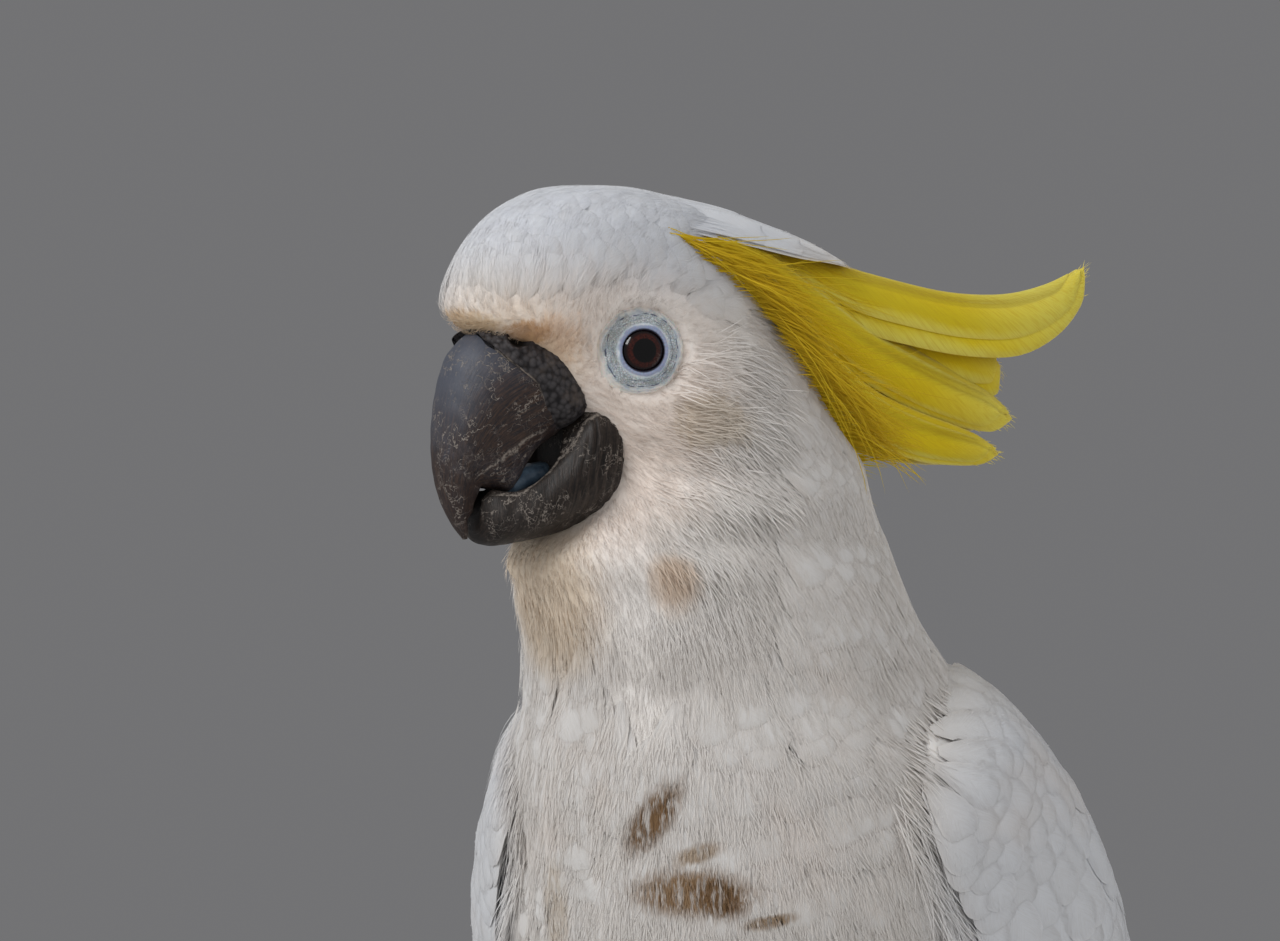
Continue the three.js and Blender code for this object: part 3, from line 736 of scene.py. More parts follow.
@dataclass(frozen=True)
class Yellow(Vaned):
    """The crest's own finish: golden at the base, lemon in the middle, pale at the edges and tips."""

    # gold is also the colour of the painted shade between the barbs
    gold: Colour = (0.62, 0.38, 0.003)
    lemon: Colour = (0.77, 0.56, 0.004)
    pale: Colour = (0.82, 0.71, 0.12)
    base_ends: float = 4.2  # centimetres along the feather

    def colour(self, sheet: Paint, lines: Wire, off: Wire, along: Wire) -> tuple[Wire, Wire]:
        """Yellow vanes, streaked along their barbs with painted shade of deeper gold between them; the
        arguments are as for a white one.
        """
        broad = sheet.noise(55, 3, 0.6)
        gold = (along + (broad - 0.5) * 2.0).step(self.base_ends, self.base_ends * 0.3)
        colour = sheet.mix(gold * 0.85, self.lemon, self.gold)
        edge = (off + (broad - 0.5) * 0.5).step(0.72, 1.0)
        tip = (along + (broad - 0.5) * 1.6).step(7.6, 11.5)
        colour = sheet.mix(edge.most(tip) * 0.75, colour, self.pale)
        # painted shade: deeper gold along the barb lines, where the relief is low
        colour = sheet.mix(lines.step(0.58, 0.34) * 0.4, colour, self.gold)
        return sheet.mix(sheet.tone().step(0.7, 1.0) * 0.35, colour, self.pale), lines * 0.8


def down_finish() -> Material:
    """The skin under the coat: the coat's own colours over fine down."""
    sheet = Paint("down")
    fluff = sheet.noise(900, 3, 0.6)
    return sheet.finish(plumage_colour(sheet), fluff, 0.3, Roughness=0.9, Specular_IOR_Level=0.2)


# ---------------------------------------------------------------- surfaces that feathers lie on


class Surface:
    """A closed skin of triangles that points can be snapped to."""

    def __init__(self, points: Array, faces: Array) -> None:
        """Takes the skin's points and triangles, in metres."""
        self.points = points
        self.faces = faces
        a, b, c = (points[faces[:, i]] for i in range(3))
        slope = np.cross(b - a, c - a)
        self.area = np.linalg.norm(slope, axis=1) / 2
        total = np.zeros_like(points)
        for i in range(3):
            for axis in range(3):
                total[:, axis] += np.bincount(faces[:, i], slope[:, axis], len(points))
        self.normals = unit(total)
        self.tree = BVHTree.FromPolygons(points.tolist(), faces.tolist(), all_triangles=True)

    def snap(self, places: Array) -> tuple[Array, Array]:
        """The nearest places on the skin and the smooth normals there."""
        found = [self.tree.find_nearest(p) for p in places.reshape(-1, 3).tolist()]
        spots = np.array([f[0] for f in found])
        corners = self.faces[np.array([f[2] for f in found])]
        a, b, c = (self.points[corners[:, i]] for i in range(3))
        whole = np.cross(b - a, c - a)
        area = np.maximum(np.einsum("ij,ij->i", whole, whole), 1e-20)
        wb = np.einsum("ij,ij->i", np.cross(spots - a, c - a), whole) / area
        wc = np.einsum("ij,ij->i", np.cross(b - a, spots - a), whole) / area
        shares = np.clip(np.stack([1 - wb - wc, wb, wc], -1), 0, 1)
        normals = unit(np.einsum("ij,ijk->ik", shares, self.normals[corners]))
        return spots.reshape(places.shape), normals.reshape(places.shape)

    def holds(self, places: Array, ways: Array) -> Array:
        """Whether each place is inside the skin, seen by looking along a way from it."""
        hits = [self.tree.ray_cast(p, w) for p, w in zip(places.tolist(), ways.tolist())]
        return np.array([h[0] is not None and h[1].dot(Vector(w)) > 0 for h, w in zip(hits, ways.tolist())])

    def scatter(self, seed: int, gap: Choice, wanted: Choice) -> Array:
        """Places spread evenly over part of the skin.

        Args:
            seed: Seed of the random order.
            gap: Least distance between neighbours at each place, in millimetres.
            wanted: Whether each place is in the part.

        Returns:
            The places, in metres.
        """
        draw = np.random.default_rng(seed)
        middles = self.points[self.faces].mean(1)
        chosen = np.flatnonzero(wanted(middles))
        weight = self.area[chosen] / (gap(middles[chosen]) * MM) ** 2
        count = int(weight.sum() * 9)
        faces = self.faces[draw.choice(chosen, count, p=weight / weight.sum())]
        tries = np.einsum("ij,ijk->ik", draw.dirichlet((1, 1, 1), count), self.points[faces])
        gaps = gap(tries) * MM
        keys = np.floor(tries / gaps.max()).astype(int).tolist()
        kept: dict[tuple[int, int, int], list[Spot]] = {}
        places = []
        steps = [(i, j, k) for i in (-1, 0, 1) for j in (-1, 0, 1) for k in (-1, 0, 1)]
        for (x, y, z), (px, py, pz), reach in zip(keys, tries.tolist(), (gaps**2).tolist()):
            near = (q for i, j, k in steps for q in kept.get((x + i, y + j, z + k), ()))
            if all((qx - px) ** 2 + (qy - py) ** 2 + (qz - pz) ** 2 > reach for qx, qy, qz in near):
                kept.setdefault((x, y, z), []).append((px, py, pz))
                places.append((px, py, pz))
        return np.array(places)


def joined_skin(parts: Sequence[Shape], voxel: float, rounds: int, pull: float = 0.5) -> Surface:
    """One even, smooth skin round several closed shapes.

    Args:
        parts: The shapes.
        voxel: Size of the skin's faces, in millimetres.
        rounds: How often it is smoothed, by turns of pulling in and letting out, so that it keeps its size.
        pull: How far each turn moves a point towards its neighbours.

    Returns:
        The skin.
    """
    starts = np.cumsum([0] + [len(points) for points, _ in parts])
    faces = np.concatenate([faces + start for (_, faces), start in zip(parts, starts)])
    made = link(plain_mesh("joined", np.concatenate([points for points, _ in parts]), faces))
    remesh = made.modifiers.new("skin", "REMESH")
    remesh.mode = "VOXEL"
    remesh.voxel_size = voxel * MM
    apply_modifiers(made)
    points = points_of(made.data)
    a, b = edges_of(made.data)
    here, there = np.concatenate([a, b]), np.concatenate([b, a])
    share = np.bincount(here, minlength=len(points))[:, None].astype(float)
    for turn in range(rounds * 2):
        mean = np.stack([np.bincount(here, points[there, i], len(points)) for i in range(3)], -1)
        points = points + (mean / share - points) * (pull if turn % 2 == 0 else -pull * 1.04)
    made.data.vertices.foreach_set("co", points.astype(np.float32).ravel())
    made.data.update()
    skin = Surface(*arrays_of(made.data))
    bpy.data.objects.remove(made)
    return skin


class Web:
    """A smooth sheet between an upper edge, a middle line and a lower edge, read by (along, across)."""

    def __init__(self, rows: Sequence[Sequence[float]], side: Side = Side.LEFT) -> None:
        """Takes rows of [upper xyz, middle xyz, lower xyz], in the bird's frame, for the left side."""
        self.rows = np.asarray(rows, float)[:, :9]
        self.sign = side.value

    def inside(self, s: Array, t: Array) -> Array:
        """Places for shares between 0 and 1."""
        row = smooth_rows(self.rows, s * (len(self.rows) - 1))
        t = t[..., None]
        upper, middle, lower = row[..., 0:3], row[..., 3:6], row[..., 6:9]
        pull = 2 * middle - (upper + lower) / 2
        return (upper * (1 - t) ** 2 + 2 * pull * t * (1 - t) + lower * t**2) * (self.sign, 1, 1)

    def spot(self, s: Array | float, t: Array | float) -> Array:
        """Places on the sheet for shares along and across it, which it carries on straight past its edges."""
        s, t = np.broadcast_arrays(np.asarray(s, float), np.asarray(t, float))
        near_s, near_t = np.clip(s, 0, 1), np.clip(t, 0, 1)
        place = self.inside(near_s, near_t)
        if np.all(near_s == s) and np.all(near_t == t):
            return place
        ds, dt, _ = self.slopes(near_s, near_t)
        return place + ds * (s - near_s)[..., None] + dt * (t - near_t)[..., None]

    def slopes(self, s: Array, t: Array) -> tuple[Array, Array, Array]:
        """How a place moves along and across the sheet, and the sheet's outward normal."""
        h = 2e-3
        s, t = np.clip(s, 0.012, 0.988), np.clip(t, 0.012, 0.988)
        ds = (self.inside(s + h, t) - self.inside(s - h, t)) / (2 * h)
        dt = (self.inside(s, t + h) - self.inside(s, t - h)) / (2 * h)
        return ds, dt, unit(np.cross(dt, ds)) * self.sign

    @staticmethod
    def shares_of(move: Array, ds: Array, dt: Array) -> tuple[Array, Array]:
        """How far a move on the sheet goes along and across it, in shares of its slopes there."""
        e, f, g = (np.sum(p * q, -1) for p, q in ((ds, ds), (ds, dt), (dt, dt)))
        along, across = np.sum(move * ds, -1), np.sum(move * dt, -1)
        rest = np.maximum(e * g - f * f, 1e-6)
        return (along * g - across * f) / rest, (across * e - along * f) / rest

    def walk(self, s: Array, t: Array, slant: Array, lengths: Array, stops: Array) -> tuple[Array, ...]:
        """Follows paths over the sheet.

        Args:
            s: Shares along the sheet where the paths start.
            t: Shares across it.
            slant: Turn of each path from straight along, in degrees, towards the lower edge.
            lengths: Lengths of the paths, in millimetres.
            stops: Shares of the length at which the sheet is read.

        Returns:
            Tangents and normals, each (paths, stops, 3) in the bird's frame, and the shares (s, t).
        """
        turn = np.radians(slant)[:, None]
        found = []
        for run in np.diff(stops, prepend=0.0):
            for _ in range(3):
                ds, dt, normal = self.slopes(s, t)
                ahead = unit(ds)
                way = ahead * np.cos(turn) + square_to(ahead, dt) * np.sin(turn)
                more_s, more_t = self.shares_of(way * (lengths * run / 3)[:, None], ds, dt)
                s, t = s + more_s, t + more_t
            found.append((way, normal, np.stack([s, t], -1)))
        return tuple(np.stack(x, 1) for x in zip(*found))

    def beside(self, shares: Array, tangents: Array, offsets: Array) -> Array:
        """Places beside paths on the sheet.

        Args:
            shares: Where the paths are on it, (paths, stops, 2).
            tangents: Which way they run there.
            offsets: How far aside each place is, (paths, stops, across), in millimetres, upwards negative.

        Returns:
            The places, (paths, stops, across, 3), in the bird's frame.
        """
        s, t = shares[..., 0], shares[..., 1]
        ds, dt, _ = self.slopes(s, t)
        us, ut = self.shares_of(square_to(unit(tangents), dt), ds, dt)
        return self.spot(s[..., None] + us[..., None] * offsets, t[..., None] + ut[..., None] * offsets)


# ---------------------------------------------------------------- feathers


@dataclass(frozen=True)
class Cut:
    """The outline of a kind of feather, from its root to its tip."""

    stops: Array  # shares of its length
    widths: Array  # shares of its breadth
    across: int = 5  # points across it
    thick: float = 0.3  # in millimetres, at the shaft
    rim: float = 0.25  # share of that at its edges

    def finer(self, stations: int) -> "Cut":
        """The same outline with more points."""
        stops = 1 - (1 - np.linspace(0, 1, stations)) ** 1.25
        key = np.interp(stops, self.stops, np.arange(len(self.stops)))
        widths = smooth_rows([[w] for w in self.widths], key)[:, 0]
        return Cut(stops, np.maximum(widths, 0.05), self.across, self.thick)


def cut_from(across: int, thick: float, *rows: tuple[float, float]) -> Cut:
    """An outline from rows of (share of the length, share of the breadth)."""
    return Cut(*np.array(rows).T, across, thick)


SOFT = cut_from(5, 0.14, (0, 0.25), (0.25, 0.62), (0.5, 0.9), (0.7, 1), (0.84, 0.9), (0.94, 0.64), (1, 0.2))
SMALL = cut_from(5, 0.12, (0, 0.3), (0.3, 0.75), (0.6, 1), (0.82, 0.9), (0.95, 0.6), (1, 0.2))
BROAD_ROWS = (0, 0.3), (0.2, 0.6), (0.4, 0.84), (0.58, 0.97), (0.74, 1), (0.86, 0.93)
BROAD = cut_from(7, 0.5, *BROAD_ROWS, (0.94, 0.72), (0.98, 0.48), (1, 0.2))
LONG_ROWS = (0, 0.35), (0.12, 0.6), (0.26, 0.8), (0.4, 0.93), (0.55, 1), (0.7, 1), (0.82, 0.96), (0.9, 0.84)
FLIGHT = cut_from(7, 0.6, *LONG_ROWS, (0.95, 0.64), (0.985, 0.36), (1, 0.12)).finer(18)
TAIL_ROWS = (0, 0.5), (0.3, 0.74), (0.55, 0.9), (0.8, 1), (0.93, 0.93), (0.975, 0.72), (1, 0.32)
TAIL = cut_from(9, 0.9, *TAIL_ROWS).finer(22)


def vane_faces(stations: int, across: int) -> Array:
    """Triangles of a closed vane whose rings hold the upper points, then the inner lower ones backwards."""
    ring = 2 * across - 2
    faces = []
    for s in range(stations - 1):
        for k in range(ring):
            a, b = s * ring + k, s * ring + (k + 1) % ring
            faces += [(a, b, b + ring), (a, b + ring, a + ring)]
    end = (stations - 1) * ring
    for k in range(across - 1):
        under, beyond = (ring - k) % ring, ring - k - 1
        if k:
            faces += [(under, k + 1, k), (end + k, end + k + 1, end + under)]
        if k < across - 2:
            faces += [(under, beyond, k + 1), (end + k + 1, end + beyond, end + under)]
    return np.array([f for f in faces if len(set(f)) == 3])


@dataclass
class Feathers:
    """A batch of feathers of one cut."""

    cut: Cut
    top: Array  # upper points, (feathers, stops, across, 3), in metres
    normals: Array  # which way is up there, (feathers, stops, across or 1, 3)
    length: Array  # of each, in millimetres
    roots: Array  # each one's place on the unwrap
    tone: Array  # each one's tone

    def __post_init__(self) -> None:
        """Reads the batch along the shafts."""
        self.middle = self.cut.across // 2
        self.shaft_up = self.normals[:, :, self.middle if self.normals.shape[2] > 1 else 0]

    def vanes(self, soup: Soup) -> None:
        """Adds them as closed vanes."""
        count, stations, across = self.top.shape[:3]
        bulge = 1 - np.linspace(-1, 1, across) ** 2
        depth = self.cut.thick * MM * (self.cut.rim + (1 - self.cut.rim) * bulge)
        depth = depth * np.linspace(1.0, 0.5, stations)[:, None]
        under = self.top - self.normals * depth[None, :, :, None]
        ring = np.concatenate([self.top, under[:, :, across - 2 : 0 : -1]], 2)
        share = np.linspace(0, 1, across)
        share = np.concatenate([share, share[across - 2 : 0 : -1]])
        along = self.cut.stops[None, :, None] * (self.length[:, None, None] / 10)
        vane = np.stack(np.broadcast_arrays(share[None, None], along), -1).reshape(count, -1, 2)
        rim = np.zeros((stations, ring.shape[2]), bool)
        rim[:, [0, across - 1]] = True
        rim[[0, -1]] = True
        faces = vane_faces(stations, across)
        soup.add(ring.reshape(count, -1, 3), faces, self.roots, vane, self.tone, rim.ravel())

    def fringe(self, soup: Soup, draw: Draw, count: int, reach: float, start: float, half: float) -> None:
        """Adds barbs that stand past the edges of the vanes and soften them.

        Args:
            soup: Where they go.
            draw: Source of random numbers.
            count: Barbs on each feather.
            reach: How far they run, in millimetres.
            start: Share of the feather's length at which they begin.
            half: Their half breadth, in millimetres.
        """
        top, stops = self.top, self.cut.stops
        feathers, stations = top.shape[:2]
        spots = start + (1 - start) * (np.arange(count) + draw.random((feathers, count))) / count
        side = np.where(np.arange(count) % 2 == 0, 1.0, -1.0) * np.ones((feathers, 1))
        spots = np.clip(spots, 0, 0.985)
        low = np.clip(np.searchsorted(stops, spots, side="right") - 1, 0, stations - 2)
        part = ((spots - stops[low]) / (stops[low + 1] - stops[low]))[..., None]
        rows = np.arange(feathers)[:, None]

        def read(values: Array) -> Array:
            """Values at the barbs' own stops."""
            return values[rows, low] * (1 - part) + values[rows, low + 1] * part

        centre = read(top[:, :, self.middle])
        edge = np.where(side[..., None] > 0, read(top[:, :, -1]), read(top[:, :, 0]))
        up = unit(read(self.shaft_up))
        ahead = unit(top[rows, low + 1, self.middle] - top[rows, low, self.middle])
        out = unit(edge - centre)
        lean = np.radians(38 - 26 * (spots - start) / (1 - start) + draw.normal(0, 5, spots.shape))[..., None]
        way = ahead * np.cos(lean) + out * np.sin(lean)
        run = (reach * MM * draw.uniform(0.6, 1.25, spots.shape))[..., None]
        foot = centre + (edge - centre) * draw.uniform(0.35, 0.8, spots.shape)[..., None]
        lift = up * (draw.normal(0.06, 0.07, spots.shape)[..., None] * MM)
        paths = [foot - up * 0.05 * MM, foot + way * run * 0.5 + lift * 1.5, foot + way * run + lift]
        many = feathers * count
        tone = np.clip(np.repeat(self.tone, count) + draw.normal(0, 0.15, many), 0, 1)
        roots = np.repeat(self.roots, count, 0)
        along = (spots * self.length[:, None] / 10).ravel()
        soup.barbs(np.stack(paths, 2).reshape(many, 3, 3), up.reshape(many, 3), half, roots, tone, along)

    def shafts(self, soup: Soup, radius: float, rise: float) -> None:
        """Adds shafts of a radius that rise so far over the vanes, in millimetres."""
        middle = self.top[:, :, self.middle] + self.shaft_up * (rise * MM)
        soup.barbs(middle[:, :-1], self.shaft_up[:, 0], radius, self.roots, 1.0, self.length / 20)


# ---------------------------------------------------------------- body and skin


def head_section(up: float, front: float, back: float, half: float) -> tuple[float, ...]:
    """A level section of the head: height over the eyes, reach to front and back, and half width."""
    middle, reach = (front + back) / 2, (front - back) / 2
    x = Bearings.HEAD_AT[0] + math.sin(HEAD_TURN) * middle
    y = Bearings.HEAD_AT[1] - math.cos(HEAD_TURN) * middle
    return (Bearings.HEAD_AT[2] + up, x, y, half, reach, reach, -40)


SECTIONS = (  # level sections from crown to belly: height, middle x and y, half width, front, back, turn
    *(
        head_section(*row)
        for row in (
            (38.6, 8, -2, 1), (37.4, 17, -10, 11.5), (33.2, 26, -24, 18.2), (28.4, 32, -32, 20.8),
            (22.3, 36.8, -38, 22.3), (15, 40.2, -44, 24), (9.4, 40.4, -48, 24.6), (5.8, 36.4, -49, 25),
            (0.5, 26, -50, 25.5), (-9, 17.5, -54, 26.8), (-17, 11, -59, 28.5), (-25, 7.6, -65, 28.8),
            (-33, 9.4, -65.9, 33.2), (-40, 16.2, -69.9, 32.6), (-46, 19.8, -72, 35.4),
        )
    ),
    (267, -5.6, -23.1, 39.9, 50, 42.8, -45), (256, -4.7, -19, 44, 50.3, 46.6, -37.5),
    (243, -4.4, -13.8, 49.2, 52.2, 55.9, -25.7), (227, -2.5, -6.4, 57.3, 60.6, 68.5, -6.5),
    (207, 0, 2, 62.5, 68, 69, 0), (185, 0, 8, 65, 71, 71, 0), (157, 0, 20, 65.5, 74, 70, 0),
    (130, 0, 32, 61, 72, 68, 0), (105, 0, 42, 52, 64, 62, 0), (85, 0, 48, 38, 52, 50, 0),
    (71, 0, 50, 26, 38, 34, 0), (64, 0, 50, 14, 22, 20, 0), (62, 0, 50, 1, 2, 2, 0),
)
THIGH = (
    (27, 18, 107, 22), (29, 20, 84, 23.5), (30, 23, 60, 19), (29.5, 25, 44, 13.5), (29, 25.5, 34, 9.6),
    (29, 25, 29, 7.4),
)
TAIL_ROOT = (  # rows of a web, with the thickness of the tail's root under them
    (-33, 74, 81, 0, 78, 119, 33, 74, 81, 34), (-30, 100, 73, 0, 104, 103, 30, 100, 73, 27),
    (-26, 128, 63, 0, 132, 82, 26, 128, 63, 18), (-22, 156, 53, 0, 160, 64.5, 22, 156, 53, 11.5),
    (-16, 178, 45.5, 0, 182, 53, 16, 178, 45.5, 8), (-6, 196, 42, 0, 198, 45.6, 6, 196, 42, 4),
)
FOLDS = (  # soft ridges, and furrows where the height is negative: start, end, breadth, height
    ((-30, -56, 247), (-36, -54, 190), 4.5, 1.8), ((-42, -40, 246), (-47, -42, 190), 4.0, -1.8),
    ((-22, -62, 240), (-27, -62, 188), 4.0, -0.9), ((38, -42, 246), (50, -28, 232), 5.0, -1.8),
    ((30, -50, 258), (44, -30, 252), 5.0, 1.0), ((-14, -66, 247), (34, -50, 245), 4.5, -0.7),
    ((-10, -66, 232), (40, -48, 226), 5.0, 0.6), ((2, -68, 214), (44, -46, 218), 4.5, -0.6),
    ((-13.1, -61.8, 301.7), (-2.8, -59.5, 291.2), 2.3, -1.1), ((-11.5, -62.2, 306), (1, -58, 296), 2.6, 0.8),
    ((-2.3, -57.4, 336.9), (5.2, -44.7, 333.4), 2.2, -1.0), ((-42.5, -56, 283), (-43, -55, 270), 6, 3.0),
)


class Unwrap:
    """The flat map of the skin: body, tail's root above and below, and each thigh have their own fields."""

    TAIL_FROM = 101.0  # y past which the skin belongs to the tail's root
    THIGH_UNDER = 61.0  # z under which it belongs to a thigh
    FIELDS = np.array(((0.01, 0.98), (0.02, 0.22), (0.27, 0.22), (0.52, 0.22), (0.76, 0.22)))  # start, span
    LEVELS = np.array([r[:3] for r in SECTIONS])[::-1]

    def field(self, places: Array, normals: Array) -> Array:
        """The field that each place belongs to."""
        x, y, z = AT.in_bird(places).T
        tail = np.where(normals[:, 2] > 0, 1, 2)
        return np.where(y > self.TAIL_FROM, tail, np.where(z < self.THIGH_UNDER, np.where(x > 0, 3, 4), 0))

    def at(self, places: Array, fields: Array) -> Array:
        """The place of each point on the flat map."""
        x, y, z = AT.in_bird(places).T
        cx, cy = (np.interp(z, self.LEVELS[:, 0], self.LEVELS[:, i]) for i in (1, 2))
        cx = np.where(fields >= 3, np.where(fields == 3, 29, -29), cx)
        cy = np.where(fields >= 3, 24, cy)
        round_it = 0.5 + np.arctan2(x - cx, cy - y) / (2 * math.pi)
        tail = (fields == 1) | (fields == 2)
        start, span = self.FIELDS[fields].T
        across = start + span * np.where(tail, (x + 42) / 84, round_it)
        low = np.where(tail, 0.02 + (y - 95) / 110 * 0.2, 0.02 + (z - 22) / 42 * 0.2)
        return np.stack([across, np.where(fields == 0, 0.27 + (z - 58) / 305 * 0.72, low)], -1)

    def corners(self, points: Array, faces: Array) -> Array:
        """The map of every corner of every face, with no face torn across a seam."""
        a, b, c = (points[faces[:, i]] for i in range(3))
        middles = points[faces].mean(1)
        fields = self.field(middles, unit(np.cross(b - a, c - a)))
        centre = self.at(middles, fields)
        corner = self.at(points[faces].reshape(-1, 3), np.repeat(fields, 3)).reshape(-1, 3, 2)
        span = self.FIELDS[fields][:, 1:]
        wraps = ((fields == 0) | (fields >= 3))[:, None]
        corner[..., 0] += np.where(wraps, np.round((centre[:, None, 0] - corner[..., 0]) / span), 0) * span
        return corner


@dataclass(frozen=True)
class EyeSite:
    """Where an eye sits in the head, and the sizes of the ball and of the bare ring round it."""

    forward: float = 0.9
    aside: float = 16.8
    up: float = 1.2
    aim: float = 15.0  # degrees forward of straight out
    ball: float = 7.2
    opening: float = 4.75
    ring: float = 10.3

    def axis(self, side: Side) -> tuple[Array, Array]:
        """The eye's centre and its gaze."""
        aim = math.radians(self.aim)
        gaze = AT.left * side.value * math.cos(aim) + AT.forward * math.sin(aim)
        return AT.head([side.value * self.aside, self.forward, self.up]), gaze

    def seen(self, places: Array, side: Side) -> tuple[Array, Array]:
        """How far out of the gaze and along it each place lies, in millimetres."""
        centre, gaze = self.axis(side)
        along = (places - centre) @ gaze / MM
        return np.linalg.norm((places - centre) / MM - along[..., None] * gaze, axis=-1), along

    def nearest(self, places: Array) -> Array:
        """How far out of the nearer eye's gaze each place lies, in millimetres."""
        return np.minimum(*(self.seen(places, side)[0] for side in Side))

    def pressed(self, points: Array) -> Array:
        """Points of the skin, pushed in where the bare rings lie on it."""
        for side in Side:
            out, along = self.seen(points, side)
            low = 1.6 + ramp(out, self.ring - 1.5, self.ring + 3.5) * 8
            down = np.where((along > 0) & (out < self.ring + 4), np.minimum(low - along, 0), 0)
            points = points + self.axis(side)[1] * (down * MM)[:, None]
        return points


EYE = EyeSite()
EAR = (27, -14, -15.5)


@dataclass
class Body:
    """The feathered body: its outer form, and the skin inside it by the coat's depth."""

    rings: int = 150
    around: int = 110
    voxel: float = 2.0

    def outline(self) -> Array:
        """Level rings from crown to belly, in the bird's frame."""
        bearing = circle(self.around)
        z, x, y, half, front, back, turn = even_rows(SECTIONS, self.rings).T[..., None]
        angle = bearing[None] - np.radians(turn)
        along = np.maximum(np.where(np.cos(angle) > 0, front, back), 0.5)
        reach = 1 / np.hypot(np.sin(angle) / np.maximum(half, 0.5), np.cos(angle) / along)
        return np.stack([x + reach * np.sin(bearing), y - reach * np.cos(bearing), z + 0 * angle], -1)

    def form(self) -> Surface:
        """The outer form that the tips of the coat reach, with its soft ridges and furrows."""
        limbs = [limb_rings(THIGH, 30, 32) * (side.value, 1, 1) for side in Side]
        root = Web(TAIL_ROOT)
        s, t = np.meshgrid(np.linspace(0, 1, 34), np.linspace(0, 1, 17), indexing="ij")
        top = root.spot(s, t)
        thick = smooth_rows([[r[9]] for r in TAIL_ROOT], s * (len(TAIL_ROOT) - 1))
        under = top - root.slopes(s, t)[2] * thick * (1 - (2 * t[..., None] - 1) ** 2 * 2 / 3)
        tail = np.concatenate([top, under[:, ::-1]], 1)
        skin = joined_skin([loft(AT.bird(rings)) for rings in (self.outline(), *limbs, tail)], self.voxel, 7)
        points = skin.points
        for first, last, breadth, height in FOLDS:
            start, line = AT.bird(first), AT.bird(last) - AT.bird(first)
            share = np.clip((points - start) @ line / (line @ line), -0.15, 1.15)
            gap = np.linalg.norm(points - start - share[:, None] * line, axis=1) / MM
            fade = ramp(share, -0.15, 0.2) * ramp(share, 1.15, 0.8)
            points = points + skin.normals * (height * MM * bell(gap, breadth) * fade)[:, None]
        return Surface(points, skin.faces)

    def skin(self, coat: "Coat") -> Surface:
        """Makes the skin: one mesh inside the form, pressed in under the rings of the eyes."""
        form = coat.form
        points = EYE.pressed(form.points - form.normals * (coat.depth(form.points) * MM)[:, None])
        mesh = plain_mesh("skin", points, form.faces)
        store(mesh, "OFBake", "MAP", coat.unwrap.corners(points, form.faces))
        flesh = ("head", "neck", "trunk", "thigh_left", "thigh_right", "tail_coverts")
        seat(link(mesh, down_finish()), "plumage", *flesh)
        return Surface(*arrays_of(mesh))


# ---------------------------------------------------------------- the coat


@dataclass(frozen=True)
class Tract:
    """A stretch of the coat and the size of its feathers."""

    name: str
    seed: int
    cut: Cut
    wanted: Choice
    length: float  # in gaps
    breadth: float
    barbs: int
    reach: float
    gap: Choice  # millimetres between roots
    lift: float = 0.0


def solid(name: str) -> Surface:
    """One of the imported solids, as a surface."""
    return Surface(*arrays_of(bpy.data.objects[name].data))


